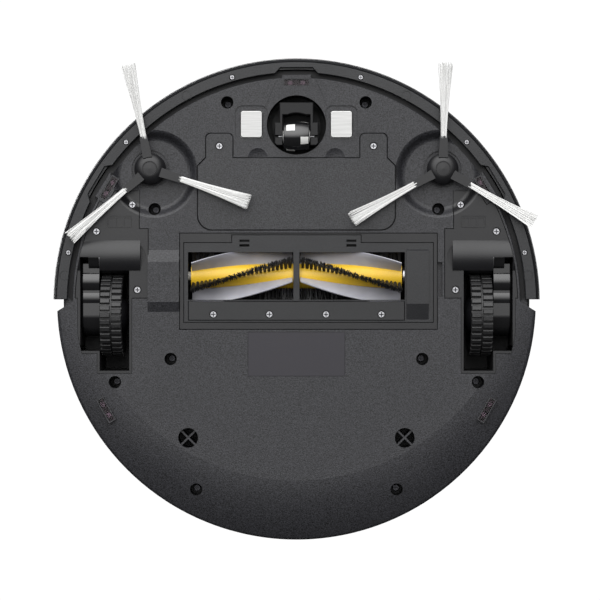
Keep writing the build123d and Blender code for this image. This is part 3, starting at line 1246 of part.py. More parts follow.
END_WALL = (BAY_LEFT, BAY_LEFT + 4)
GEAR_SHAFT_RADIUS = 1.5
FOOT_Z = BASE_Z + 7
with BuildPart() as brush_housing:
    with BuildSketch(Plane.XY.offset(BASE_Z)):
        rectangle((BAY_LEFT, BAY_RIGHT, BAY_FRONT, BAY_REAR))
    extrude(amount=BAY_TOP - BASE_Z)
    # the end wall rises to carry the motor, the idler and the gear cover
    with BuildSketch(Plane.XY.offset(BAY_TOP)):
        rectangle((*END_WALL, BRUSH_Y - 13, BRUSH_Y + 13))
    extrude(amount=PINION_Z + 11 - BAY_TOP)
    # above its foot the housing is only a shell round the tunnel and the channel
    with BuildSketch(Plane.YZ.offset(END_WALL[1])):
        rectangle((BAY_FRONT - 1, BAY_REAR + 1, FOOT_Z, FAR))
        with Locations((BRUSH_Y, BRUSH_Z)):
            Circle(TUNNEL_RADIUS + WALL, mode=Mode.SUBTRACT)
    extrude(amount=BLOCK_LEFT + 2 - END_WALL[1], mode=Mode.SUBTRACT)
    with BuildSketch(Plane.XZ.offset(-BRUSH_Y)):
        rectangle((INLET[0], INLET[1], FOOT_Z - 1, INLET[3]), WALL)
    extrude(amount=BRUSH_Y - BAY_REAR)
    # tunnel of the roller, open below
    with BuildSketch(Plane.YZ.offset(END_WALL[1])):
        with Locations((BRUSH_Y, BRUSH_Z)):
            Circle(TUNNEL_RADIUS)
            Rectangle(2 * TUNNEL_RADIUS, FAR, align=(Align.CENTER, Align.MAX))
    extrude(amount=76 - END_WALL[1], mode=Mode.SUBTRACT)
    # seat of the cover
    with BuildSketch(Plane.XY.offset(BASE_Z)):
        cover_outline(SEAM_GAP)
    extrude(amount=COVER_THICKNESS + 0.1, mode=Mode.SUBTRACT)
    # the right-hand block is hollow from above
    with BuildSketch(Plane.XY.offset(BASE_Z + COVER_THICKNESS + 3)):
        rectangle((80, BAY_RIGHT - 2, BAY_FRONT + 2, BAY_REAR - 2))
    extrude(amount=FAR, mode=Mode.SUBTRACT)
    # channel from the tunnel to the suction duct
    with BuildSketch(Plane.XZ.offset(-BRUSH_Y)):
        rectangle(INLET)
    extrude(amount=-60, mode=Mode.SUBTRACT)
    # bearings of the roller, the idler and the pinion
    with BuildSketch(Plane.YZ.offset(-FAR)):
        with Locations((BRUSH_Y, BRUSH_Z)):
            Circle(BRUSH_DRIVE_RADIUS + RUN)
        with Locations((BRUSH_Y, IDLER_Z), (BRUSH_Y, PINION_Z)):
            Circle(GEAR_SHAFT_RADIUS + RUN)
    extrude(amount=FAR + END_WALL[1], mode=Mode.SUBTRACT)
export(brush_housing.part, "brush_housing")

with BuildPart() as brush_gear_cover:
    with BuildSketch(Plane.XY.offset(GEAR_POCKET_Z + 0.2)):
        rectangle(GEAR_BOX)
    extrude(amount=PINION_Z + 11 - GEAR_POCKET_Z - 0.2)
    fillet(brush_gear_cover.edges().filter_by(Axis.Z).group_by(Axis.X)[0], 2)
    with BuildSketch(Plane.YZ.offset(GEAR_BOX[0] + 2)):
        rectangle((GEAR_BOX[2] + 1.6, GEAR_BOX[3] - 1.6, -FAR, PINION_Z + 9))
    extrude(amount=FAR, mode=Mode.SUBTRACT)
export(brush_gear_cover.part, "brush_gear_cover")

DRIVE_PLANE = Plane((GEAR_LEFT, BRUSH_Y, BRUSH_Z), x_dir=(0, 1, 0), z_dir=(1, 0, 0))
IDLER_PLANE = Plane((GEAR_LEFT, BRUSH_Y, IDLER_Z), x_dir=(0, 1, 0), z_dir=(1, 0, 0))
PINION_PLANE = Plane((GEAR_LEFT, BRUSH_Y, PINION_Z), x_dir=(0, 1, 0), z_dir=(1, 0, 0))
SOCKET_DEPTH = 8.0
with BuildPart() as brush_drive_gear:
    add(gear(DRIVE_PLANE, DRIVE_TEETH, -90, GEAR_WIDTH))
    with BuildSketch(DRIVE_PLANE.offset(GEAR_WIDTH)):
        Circle(BRUSH_DRIVE_RADIUS)
    extrude(amount=-BRUSH_HALF_LENGTH - GEAR_LEFT - GEAR_WIDTH + SOCKET_DEPTH - AIR)
export(brush_drive_gear.part, "brush_drive_gear")

with BuildPart() as brush_idler_gear:
    add(gear(IDLER_PLANE, IDLER_TEETH, -90, GEAR_WIDTH))
    with BuildSketch(IDLER_PLANE.offset(GEAR_WIDTH)):
        Circle(GEAR_SHAFT_RADIUS)
    extrude(amount=END_WALL[1] - GEAR_LEFT - GEAR_WIDTH - 0.5)
export(brush_idler_gear.part, "brush_idler_gear")

MOTOR_FACE = END_WALL[1]
with BuildPart() as brush_pinion:
    add(gear(PINION_PLANE, PINION_TEETH, 90, GEAR_WIDTH))
    with BuildSketch(PINION_PLANE.offset(GEAR_WIDTH)):
        Circle(GEAR_SHAFT_RADIUS)
    extrude(amount=MOTOR_FACE + 6 - GEAR_LEFT - GEAR_WIDTH)
export(brush_pinion.part, "brush_motor_pinion")

with BuildPart() as brush_motor:
    with BuildSketch(Plane((MOTOR_FACE, BRUSH_Y, PINION_Z), x_dir=(0, 1, 0), z_dir=(1, 0, 0))):
        Circle(BRUSH_MOTOR_RADIUS)
        Circle(GEAR_SHAFT_RADIUS + RUN, mode=Mode.SUBTRACT)
    extrude(amount=7)
    with BuildSketch(Plane((MOTOR_FACE + 7, BRUSH_Y, PINION_Z), x_dir=(0, 1, 0), z_dir=(1, 0, 0))):
        Circle(BRUSH_MOTOR_RADIUS)
    extrude(amount=BRUSH_MOTOR_LENGTH - 7)
    chamfer(brush_motor.edges().group_by(Axis.X)[-1], 1)
export(brush_motor.part, "brush_motor")

with BuildPart() as brush_core:
    with BuildSketch(Plane.YZ.offset(-BRUSH_HALF_LENGTH)):
        with Locations((BRUSH_Y, BRUSH_Z)):
            Circle(BRUSH_CORE_RADIUS)
    extrude(amount=2 * BRUSH_HALF_LENGTH)
    with BuildSketch(Plane.YZ.offset(BRUSH_HALF_LENGTH)):
        with Locations((BRUSH_Y, BRUSH_Z)):
            Circle(GEAR_SHAFT_RADIUS)
    extrude(amount=3.5)
    with BuildSketch(Plane.YZ.offset(-BRUSH_HALF_LENGTH)):
        with Locations((BRUSH_Y, BRUSH_Z)):
            Circle(BRUSH_DRIVE_RADIUS)
    extrude(amount=SOCKET_DEPTH, mode=Mode.SUBTRACT)
export(brush_core.part, "brush_core")

with BuildPart() as brush_bearing:
    with BuildSketch(Plane.YZ.offset(BRUSH_HALF_LENGTH + 1)):
        with Locations((BRUSH_Y, BRUSH_Z)):
            Circle(6)
            Circle(GEAR_SHAFT_RADIUS + RUN, mode=Mode.SUBTRACT)
    extrude(amount=75.9 - BRUSH_HALF_LENGTH - 1)
export(brush_bearing.part, "brush_bearing")

BLADE_STATIONS = 7
CHEVRON_GAP = 2.7


def chevron_strip(phase, thickness, inner, outer):
    """A strip along the roller that turns the same way from both ends to the middle."""
    halves = []
    for side in (-1, 1):
        with BuildPart() as strip:
            for i in range(BLADE_STATIONS):
                share = i / (BLADE_STATIONS - 1)
                x = side * (BRUSH_HALF_LENGTH - 0.5 - share * (BRUSH_HALF_LENGTH - 0.5 - CHEVRON_GAP))
                angle = radians(phase + share * BRUSH_TWIST)
                out = (0, sin(angle), -cos(angle))
                with BuildSketch(Plane((x, BRUSH_Y, BRUSH_Z), x_dir=out, z_dir=(side, 0, 0))):
                    with Locations(((inner + outer) / 2, 0)):
                        Rectangle(outer - inner, thickness)
            loft(ruled=True)
        halves.append(strip.part)
    return halves


blades = []
rows = []
for turn in range(3):
    blades += chevron_strip(BLADE_PHASE + 120 * turn, BLADE_THICKNESS, BRUSH_CORE_RADIUS - 0.5, BRUSH_RADIUS)
    rows += chevron_strip(
        BLADE_PHASE + ROW_OFFSET + 120 * turn,
        BRISTLE_ROW_THICKNESS,
        BRUSH_CORE_RADIUS - 0.5,
        BRUSH_RADIUS - 0.5,
    )
export(blades[0], "brush_blades", *blades[1:])
export(rows[0], "brush_bristle_rows", *rows[1:])

with BuildPart() as brush_cover:
    with BuildSketch(Plane.XY.offset(BASE_Z)):
        cover_outline()
    extrude(amount=COVER_THICKNESS)
    with BuildSketch(Plane.YZ.offset(BLOCK_LEFT)):
        Polygon(
            (BAY_FRONT + 10.8, BASE_Z),
            (BAY_FRONT + 11.6, BASE_Z - 1.6),
            (BAY_REAR - 17, BASE_Z - 1.6),
            (BAY_REAR - 6.3, BASE_Z),
            align=None,
        )
    extrude(amount=BLOCK_RIGHT - BLOCK_LEFT)
    # mouth, with room for the roller
    with BuildSketch(Plane.XY.offset(BASE_Z)):
        rectangle((MOUTH_LEFT, MOUTH_RIGHT, MOUTH_FRONT, MOUTH_REAR))
    extrude(amount=COVER_THICKNESS, mode=Mode.SUBTRACT)
    with BuildSketch(Plane.YZ.offset(MOUTH_LEFT)):
        with Locations((BRUSH_Y, BRUSH_Z)):
            Circle(BRUSH_RADIUS + AIR)
    extrude(amount=MOUTH_RIGHT - MOUTH_LEFT, mode=Mode.SUBTRACT)
    # rib across the middle of the mouth
    with BuildSketch(Plane.XY.offset(BASE_Z - 1.4)):
        rectangle((-RIB_WIDTH / 2, RIB_WIDTH / 2, MOUTH_FRONT - 2, MOUTH_REAR + 1))
    extrude(amount=BRUSH_Z - BRUSH_CORE_RADIUS - AIR - BASE_Z + 1.4)
    # catches, and the seat of the squeegee
    with BuildSketch(Plane.XY.offset(BASE_Z)):
        with Locations(CATCHES):
            Rectangle(6.7, 4.7)
            Rectangle(6.7, 1.4, mode=Mode.SUBTRACT)
    extrude(amount=COVER_THICKNESS, mode=Mode.SUBTRACT)
    with BuildSketch(Plane.XY.offset(BASE_Z)):
        rectangle(SQUEEGEE_BOUNDS, FIT)
    extrude(amount=SQUEEGEE_THICKNESS, mode=Mode.SUBTRACT)
    with BuildSketch(Plane.XY.offset(BASE_Z)):
        with Locations(SQUEEGEE_SCREWS):
            Circle(SCREW_RADIUS)
    extrude(amount=COVER_THICKNESS, mode=Mode.SUBTRACT)
export(brush_cover.part, "brush_cover")

with BuildPart() as squeegee_plate:
    with BuildSketch(Plane.XY.offset(BASE_Z - 0.4)):
        rectangle(SQUEEGEE_BOUNDS)
    extrude(amount=SQUEEGEE_THICKNESS + 0.4)
    chamfer(squeegee_plate.edges().group_by(Axis.Z)[0], 0.4)
    with BuildSketch(Plane.XY.offset(BASE_Z - 0.4)):
        with Locations(SQUEEGEE_SCREWS):
            Circle(HEAD_POCKET)
    extrude(amount=HEAD_HEIGHT + 0.1, mode=Mode.SUBTRACT)
    with BuildSketch(Plane.XY.offset(BASE_Z - 0.4)):
        with Locations(SQUEEGEE_SCREWS):
            Circle(SCREW_RADIUS + 0.1)
    extrude(amount=4, mode=Mode.SUBTRACT)
export(squeegee_plate.part, "squeegee_plate")

# ================= Battery, contacts, sensors, board
with BuildPart() as battery_cover:
    with BuildSketch(Plane.XY.offset(BASE_Z)):
        battery_outline()
    extrude(amount=BATTERY_COVER_THICKNESS)
    chamfer(battery_cover.edges().group_by(Axis.Z)[0], 0.3)
    with BuildSketch(Plane.XY.offset(BASE_Z)):
        with Locations(BATTERY_SCREWS):
            Circle(HEAD_POCKET)
    extrude(amount=HEAD_HEIGHT + 0.1, mode=Mode.SUBTRACT)
    with BuildSketch(Plane.XY.offset(BASE_Z)):
        with Locations(BATTERY_SCREWS):
            Circle(SCREW_RADIUS + 0.1)
    extrude(amount=4, mode=Mode.SUBTRACT)
export(battery_cover.part, "battery_cover")

with BuildPart() as battery_pack:
    with BuildSketch(Plane.YZ.offset(-PACK_HALF_LENGTH)):
        with Locations(
            (BATTERY_Y - CELL_RADIUS, PACK_Z + CELL_RADIUS),
            (BATTERY_Y + CELL_RADIUS, PACK_Z + CELL_RADIUS),
        ):
            Circle(CELL_RADIUS)
        with Locations((BATTERY_Y, PACK_Z + CELL_RADIUS)):
            Rectangle(2 * CELL_RADIUS, 2 * CELL_RADIUS)
    extrude(amount=2 * PACK_HALF_LENGTH)
    chamfer(battery_pack.edges().group_by(Axis.X)[0], 0.8)
    chamfer(battery_pack.edges().group_by(Axis.X)[-1], 0.8)
export(battery_pack.part, "battery_pack")

squeegee_screws = [screw(x, y, BASE_Z - 0.3, length=3.2) for x, y in SQUEEGEE_SCREWS]
export(squeegee_screws[0], "squeegee_screws", *squeegee_screws[1:])
body_screws = [screw(x, y, BASE_Z + 0.1) for x, y in BATTERY_SCREWS]
body_screws += [screw(x, y, BASE_Z + 0.1) for x, y in both_sides(PLATE_SCREWS)]
body_screws += [
    screw(x, y, DISH_ROOF - WALL - HEAD_HEIGHT) for x, y in both_sides([DISH_SCREW])
]
body_screws += [screw(x, y, WELL_ROOF_Z - HEAD_HEIGHT) for x, y in HOUSING_WELLS]
export(body_screws[0], "body_screws", *body_screws[1:])

with BuildPart() as charging_contact:
    with BuildSketch(Plane((CONTACT_X, CONTACT_Y, BASE_Z - CONTACT_PROUD))):
        RectangleRounded(*CONTACT_SIZE, CONTACT_CORNER)
    extrude(amount=WALL + CONTACT_PROUD)
    fillet(charging_contact.edges().group_by(Axis.Z)[0], 0.6)
    with BuildSketch(Plane((CONTACT_X, CONTACT_Y, INNER_Z))):
        RectangleRounded(CONTACT_SIZE[0], CONTACT_SIZE[1] + 3, CONTACT_CORNER)
    extrude(amount=1)
    with BuildSketch(Plane((CONTACT_X, CONTACT_Y, INNER_Z + 1))):
        Rectangle(6, 1)
    extrude(amount=7)
export(charging_contact.part, "charging_contacts", mirrored(charging_contact.part))

SENSOR_WINDOW_Z = BASE_Z + 1.0
SENSOR_WINDOW_THICKNESS = 1.2
DIODE_Z = SENSOR_WINDOW_Z + SENSOR_WINDOW_THICKNESS + 0.2
DIODE_SPACING = 8.4
windows = []
diodes = []
for place in SENSOR_PLACES:
    with BuildPart() as window:
        with BuildSketch(place * Plane.XY.offset(SENSOR_WINDOW_Z)):
            RectangleRounded(SENSOR_SIZE[0] - 2 * 0.1, SENSOR_SIZE[1] - 2 * 0.1, 0.7)
        extrude(amount=SENSOR_WINDOW_THICKNESS)
    windows.append(window.part)
    for x in (-DIODE_SPACING / 2, DIODE_SPACING / 2):
        with BuildPart() as diode:
            with BuildSketch(Plane(place * Location((x, 0, DIODE_Z)))):
                Circle(1.9)
            extrude(amount=BASE_Z + SENSOR_DEPTH - DIODE_Z)
            chamfer(diode.edges().group_by(Axis.Z)[0], 0.6)
        diodes.append(diode.part)
export(windows[0], "cliff_sensor_windows", *windows[1:])
export(diodes[0], "cliff_sensor_diodes", *diodes[1:])

with BuildPart() as rating_label:
    with BuildSketch(Plane.XY.offset(BASE_Z + 0.1)):
        rectangle(LABEL_BOUNDS)
    extrude(amount=0.4)
export(rating_label.part, "blank_label")

with BuildPart() as main_board:
    with BuildSketch(Plane((0, BATTERY_Y, BOARD_Z))):
        Rectangle(*BOARD_SIZE)
    extrude(amount=1.6)
    with BuildSketch(Plane((0, BATTERY_Y, BOARD_Z + 1.6))):
        with Locations((-18, 4), (22, -6)):
            Rectangle(14, 14)
        with Locations((-45, -8), (-45, 6), (48, 12)):
            Rectangle(9, 9)
    extrude(amount=1.6)
    with BuildSketch(Plane((0, BATTERY_Y, BOARD_Z + 1.6))):
        with Locations((0, -17), (38, -17), (-36, 17)):
            Rectangle(16, 5)
        with Locations((44, -2), (52, -2)):
            Circle(3)
    extrude(amount=7)
export(main_board.part, "main_board")

SWITCH_WALL_Y = -((FRONT_RADIUS - WALL) ** 2 - (SWITCH_X + 5) ** 2) ** 0.5
SWITCH_TIP_Y = -((BUMPER_RADIUS - BUMPER_WALL) ** 2 - (SWITCH_X + 2) ** 2) ** 0.5 + BUMPER_TRAVEL + AIR
with BuildPart() as bumper_switch:
    with BuildSketch(Plane((SWITCH_X, SWITCH_WALL_Y + 0.3, SWITCH_Z - 4))):
        Rectangle(10, 12, align=(Align.CENTER, Align.MIN))
    extrude(amount=8)
    with BuildSketch(Plane((SWITCH_X, SWITCH_WALL_Y + 1, SWITCH_Z - 1.5))):
        Rectangle(3.4, SWITCH_WALL_Y + 1 - SWITCH_TIP_Y, align=(Align.CENTER, Align.MAX))
    extrude(amount=3)
export(bumper_switch.part, "bumper_switches", mirrored(bumper_switch.part))

# ================= Dust bin, its duct and the fan
BIN_BOTTOM = BIN_FLOOR + 0.3
LID_Z = BIN_TOP - BIN_LID_THICKNESS
with BuildPart() as dust_bin:
    with BuildSketch(Plane.XY.offset(BIN_BOTTOM)):
        rectangle((-BIN_HALF_WIDTH, BIN_HALF_WIDTH, BIN_FRONT, FAR))
        Circle(BODY_RADIUS, mode=Mode.INTERSECT)
    extrude(amount=LID_Z - BIN_BOTTOM)
    fillet(dust_bin.edges().filter_by(Axis.Z).group_by(Axis.Y)[0], 3)
    with BuildSketch(Plane.XY.offset(BIN_BOTTOM + BIN_WALL)):
        rectangle(
            (
                -BIN_HALF_WIDTH + BIN_WALL,
                BIN_HALF_WIDTH - BIN_WALL,
                BIN_FRONT + BIN_WALL,
                FAR,
            )
        )
        Circle(BODY_RADIUS - BIN_WALL, mode=Mode.INTERSECT)
    extrude(amount=FAR, mode=Mode.SUBTRACT)
    # block that guides the latch button
    with BuildSketch(Plane.XY.offset(LATCH_Z - 7)):
        rectangle((-15, 15, BODY_RADIUS - 14, FAR))
        Circle(BODY_RADIUS - 0.5, mode=Mode.INTERSECT)
    extrude(amount=14)
    with BuildSketch(Plane.XZ.offset(-(BODY_RADIUS - 11))):
        with Locations((0, LATCH_Z)):
            RectangleRounded(24 + 2 * FIT, 8 + 2 * FIT, 2)
    extrude(amount=-20, mode=Mode.SUBTRACT)
    # inlet from the duct and outlet through the filter
    with BuildSketch(Plane.XZ.offset(-BIN_FRONT - 5)):
        rectangle(INLET)
        rectangle(FILTER, 0.2)
    extrude(amount=10, mode=Mode.SUBTRACT)
export(dust_bin.part, "dust_bin")

with BuildPart() as bin_lid:
    with BuildSketch(Plane.XY.offset(LID_Z)):
        rectangle((-BIN_HALF_WIDTH, BIN_HALF_WIDTH, BIN_FRONT, FAR))
        Circle(BODY_RADIUS, mode=Mode.INTERSECT)
    extrude(amount=BIN_LID_THICKNESS)
export(bin_lid.part, "bin_lid")

with BuildPart() as bin_filter:
    with BuildSketch(Plane.XZ.offset(-BIN_FRONT)):
        rectangle(FILTER)
    extrude(amount=-6)
    with BuildSketch(Plane.XZ.offset(-BIN_FRONT - BIN_WALL)):
        rectangle(FILTER, 2)
    extrude(amount=-4.2)
export(bin_filter.part, "bin_filter")

with BuildPart() as bin_latch_button:
    with BuildSketch(Plane.XY.offset(LATCH_Z - 4)):
        rectangle((-12, 12, BODY_RADIUS - 11 + LATCH_TRAVEL + AIR, FAR))
        Circle(BODY_RADIUS + 0.3, mode=Mode.INTERSECT)
    extrude(amount=8)
    fillet(bin_latch_button.edges().filter_by(Axis.Y), 1.8)
export(bin_latch_button.part, "bin_latch_button")

with BuildPart() as suction_duct:
    with BuildSketch(Plane.XZ.offset(-BAY_REAR)):
        rectangle(INLET, 1.6)
        rectangle(INLET, mode=Mode.SUBTRACT)
    extrude(amount=-(BIN_FRONT - AIR - BAY_REAR))
export(suction_duct.part, "suction_duct")

FAN_TOP = FAN_FLOOR + FAN_HEIGHT + 2 * 1.6
with BuildPart() as fan_housing:
    with BuildSketch(Plane((FAN_X, FAN_Y, FAN_FLOOR))):
        Circle(FAN_RADIUS + 1.6)
    extrude(amount=FAN_TOP - FAN_FLOOR)
    with BuildSketch(Plane.XY.offset(FAN_FLOOR)):
        rectangle((FAN_X - 15, FAN_X + 15, FAN_Y, BIN_FRONT - AIR))
    extrude(amount=FAN_TOP - FAN_FLOOR)
    # legs down to the floor of the housing
    with BuildSketch(Plane.XY.offset(INNER_Z)):
        with Locations((FAN_X - 14, FAN_Y - 10), (FAN_X + 14, FAN_Y - 10), (FAN_X, FAN_Y + 15)):
            Circle(3)
    extrude(amount=FAN_FLOOR - INNER_Z)
    with BuildSketch(Plane((FAN_X, FAN_Y, FAN_FLOOR + 1.6))):
        Circle(FAN_RADIUS)
    extrude(amount=FAN_HEIGHT, mode=Mode.SUBTRACT)
    with BuildSketch(Plane.XY.offset(FAN_FLOOR + 1.6)):
        rectangle((FAN_X - 13.4, FAN_X + 13.4, FAN_Y, FAR))
    extrude(amount=FAN_HEIGHT, mode=Mode.SUBTRACT)
    with BuildSketch(Plane((FAN_X, FAN_Y, FAN_FLOOR))):
        Circle(2 + RUN)
    extrude(amount=FAR, mode=Mode.SUBTRACT)
    # outlet to the side
    with BuildSketch(Plane.YZ.offset(FAN_X)):
        rectangle((FAN_Y - 12, FAN_Y + 6, FAN_FLOOR + 3, FAN_TOP - 3))
    extrude(amount=FAR, mode=Mode.SUBTRACT)
export(fan_housing.part, "fan_housing")

with BuildPart() as fan_impeller:
    with BuildSketch(Plane((FAN_X, FAN_Y, FAN_FLOOR + 0.4))):
        Circle(2)
    extrude(amount=FAN_TOP + 8 - FAN_FLOOR - 0.4)
    with BuildSketch(Plane((FAN_X, FAN_Y, FAN_FLOOR + FAN_HEIGHT - 1))):
        Circle(FAN_RADIUS - 1.5)
    extrude(amount=1.4)
    with BuildSketch(Plane((FAN_X, FAN_Y, FAN_FLOOR + 3.2))):
        Circle(5)
        with PolarLocations(0, 9):
            with Locations((FAN_RADIUS / 2 + 1, 0)):
                Rectangle(FAN_RADIUS - 5, 1.2, rotation=22)
    extrude(amount=FAN_HEIGHT - 4)
export(fan_impeller.part, "fan_impeller")

with BuildPart() as fan_motor:
    with BuildSketch(Plane((FAN_X, FAN_Y, FAN_TOP))):
        Circle(12)
        Circle(2 + RUN, mode=Mode.SUBTRACT)
    extrude(amount=9)
    with BuildSketch(Plane((FAN_X, FAN_Y, FAN_TOP + 9))):
        Circle(12)
    extrude(amount=5)
export(fan_motor.part, "fan_motor")
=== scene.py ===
import json
import math
import random

import bpy
from mathutils import Matrix, Vector


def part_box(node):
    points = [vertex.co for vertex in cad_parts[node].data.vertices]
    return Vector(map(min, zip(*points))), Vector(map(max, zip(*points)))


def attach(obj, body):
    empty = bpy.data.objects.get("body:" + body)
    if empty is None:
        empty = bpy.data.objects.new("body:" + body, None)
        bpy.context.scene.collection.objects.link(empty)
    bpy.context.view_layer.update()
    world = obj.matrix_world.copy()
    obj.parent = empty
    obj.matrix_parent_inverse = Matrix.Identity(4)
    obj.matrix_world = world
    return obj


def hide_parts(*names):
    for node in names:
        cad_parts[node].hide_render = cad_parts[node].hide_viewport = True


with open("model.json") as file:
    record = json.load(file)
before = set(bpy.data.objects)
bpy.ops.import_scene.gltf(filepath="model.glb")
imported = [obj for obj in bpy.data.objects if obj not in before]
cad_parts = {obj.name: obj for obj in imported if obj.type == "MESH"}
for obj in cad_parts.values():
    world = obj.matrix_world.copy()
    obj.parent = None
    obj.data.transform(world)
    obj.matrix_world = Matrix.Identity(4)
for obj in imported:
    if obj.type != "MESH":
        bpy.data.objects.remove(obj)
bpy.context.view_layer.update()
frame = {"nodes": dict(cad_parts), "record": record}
nodes = frame["nodes"]
joints = {joint["name"]: joint for joint in frame["record"]["behaviour"]["joints"]}
MM = 0.001

# ---- Sizes of what is made here, in millimetres
BRISTLE_ROOT, BRISTLE_TIP = 19.0, 71.0  # distance from the side brush's axis
BRISTLE_ROOT_Z, BRISTLE_TIP_Z = 6.6, 1.0
BRISTLES_IN_TUFT = 80
SIDE_BRUSH_PHASES = {"left": 18.7, "right": 31.0}
TYRE_RADIUS, TYRE_GROOVE_RADIUS, TYRE_BORE = 28.0, 26.1, 23.5
TYRE_WIDTH = 14.5
TREAD_BLOCKS = 36
TREAD_HALF_SHARE = 0.34  # half a block's length, as a share of the pitch
TREAD_ROW_GAP = 0.35  # from the middle of the tyre to each row of blocks
ROLLER_HALF, CHEVRON_GAP = 70.5, 2.7
CHEVRON_TWIST = -80.0
BLADE_PHASE = -28.0
ROW_OFFSET = 64.0
CASTER_RADIUS, CASTER_BULGE, CASTER_HALF = 10.0, 1.1, 8.7
SENSOR_PLACES = ((-58.8, 147.6), (0, 147.6), (58.8, 147.6), (-119.6, 147.4), (119.6, 147.4))
DEEP_Z = 17.0  # faces of the underside above this lie deep in wells
HOUSING_SEAM_Z = 55.0
HUB_RING = ((4.5, 4.3), (5.1, 4.3), (5.1, 5.2), (4.5, 5.2))  # radius, z
UNDERSIDE = 9.0
PLATE_EDGE = 150.9  # radius of the front plate
RECESS_REACH = 1.6
SCREW_SPAN = 6.0
SCREW_SHAFT_DEPTH = 1.5  # faces farther than this above the head are the shaft's
RECESS_DEPTHS = (0.05, 0.8)  # the cross recess lies between these above the head
SEAT_MARGIN = 1.0
SEAT_DEPTH = 0.2  # faces this far above the underside count as being in a seat
COVER_EAR_FRONT = -113.8  # front end of the battery cover's screw ears
BETWEEN_EARS = (-45, 45, -115, -96.4)  # plain plate between those ears: x, x, y, y
MODULE_SEATS = ((99.3, -49.2, -2.3), (105.2, -75, -49))  # beyond this x each way, and between these y
PLATE_REAR = -3  # rear end of the front plate
WELL_REACH = 150  # deep faces farther from the middle belong to the outer wall

# ---- Features per metre, depths in metres and spreads of the surfaces
SPECKLE_SCALE = 1250
SMUDGE_SCALE = 24
ROUGHNESS_SPREAD = 0.05
COAT_ROUGHNESS = 0.06
STREAK_SHADES = (0.86, 1.1)


# ================= Materials
def new_material(name, colour, rough, metal=0.0):
    """A material, its node tree and its shader."""
    made = bpy.data.materials.new(name)
    made.use_nodes = True
    tree = made.node_tree
    shader = tree.nodes["Principled BSDF"]
    shader.inputs["Base Color"].default_value = (*colour, 1)
    shader.inputs["Roughness"].default_value = rough
    shader.inputs["Metallic"].default_value = metal
    made.diffuse_color = (*colour, 1)
    return made, tree, shader


def object_noise(tree, scale, detail=2.0, stretch=(1, 1, 1), rotation=0.0):
    """A noise texture fixed to the object; scale is in features per metre."""
    place = tree.nodes.new("ShaderNodeTexCoord")
    mapping = tree.nodes.new("ShaderNodeMapping")
    mapping.inputs["Scale"].default_value = stretch
    mapping.inputs["Rotation"].default_value = (0, 0, rotation)
    texture = tree.nodes.new("ShaderNodeTexNoise")
    texture.inputs["Scale"].default_value = scale
    texture.inputs["Detail"].default_value = detail
    tree.links.new(place.outputs["Object"], mapping.inputs["Vector"])
    tree.links.new(mapping.outputs["Vector"], texture.inputs["Vector"])
    return texture


def vary(tree, texture, socket, low, high, start=0.3, end=0.7):
    """Drives a shader socket from a texture, through a ramp from low to high."""
    ramp = tree.nodes.new("ShaderNodeValToRGB")
    ramp.color_ramp.elements[0].position = start
    ramp.color_ramp.elements[1].position = end
    ramp.color_ramp.elements[0].color = (*low, 1)
    ramp.color_ramp.elements[1].color = (*high, 1)
    tree.links.new(texture.outputs["Fac"], ramp.inputs["Fac"])
    tree.links.new(ramp.outputs["Color"], socket)


def bump(tree, shader, texture, depth, strength=1.0):
    """Raises the surface by a texture, depth metres at most."""
    node = tree.nodes.new("ShaderNodeBump")
    node.inputs["Distance"].default_value = depth
    node.inputs["Strength"].default_value = strength
    tree.links.new(texture.outputs["Fac"], node.inputs["Height"])
    tree.links.new(node.outputs["Normal"], shader.inputs["Normal"])


def scaled(colour, factor):
    """The colour made lighter or darker, no channel above 1."""
    return tuple(min(1.0, channel * factor) for channel in colour)


def plastic(name, colour, rough, grain=0.0, depth=0.0, speckle=0.0, coat=0.0, sheen=0.5):
    """Moulded plastic with a fine grain and a slight speckle."""
    made, tree, shader = new_material(name, colour, rough)
    shader.inputs["Specular IOR Level"].default_value = sheen
    shader.inputs["Coat Weight"].default_value = coat
    shader.inputs["Coat Roughness"].default_value = COAT_ROUGHNESS
    if grain:
        bump(tree, shader, object_noise(tree, grain, 3.0), depth)
    if speckle:
        fine = object_noise(tree, SPECKLE_SCALE)
        vary(
            tree,
            fine,
            shader.inputs["Base Color"],
            scaled(colour, 1 - speckle),
            scaled(colour, 1 + speckle),
        )
    smudge = object_noise(tree, SMUDGE_SCALE, 3.0)
    low, high = max(0.02, rough - ROUGHNESS_SPREAD), min(1, rough + ROUGHNESS_SPREAD)
    vary(tree, smudge, shader.inputs["Roughness"], (low,) * 3, (high,) * 3)
    return made


def metal(name, colour, rough, stretch=(1, 1, 1), streak=900, depth=0.00001):
    """Metal with fine brush marks along the axis that stretch shrinks."""
    made, tree, shader = new_material(name, colour, rough, 1.0)
    marks = object_noise(tree, streak, 3.0, stretch)
    bump(tree, shader, marks, depth, 0.6)
    dark, light = (scaled(colour, shade) for shade in STREAK_SHADES)
    vary(tree, marks, shader.inputs["Base Color"], dark, light)
    return made


def tinted(name, colour, rough, scale, low, high, settings):
    """A material whose colour drifts between two tints, with more sockets set by name."""
    made, tree, shader = new_material(name, colour, rough)
    for socket, value in settings.items():
        shader.inputs[socket].default_value = value
    vary(tree, object_noise(tree, scale), shader.inputs["Base Color"], low, high)
    return made


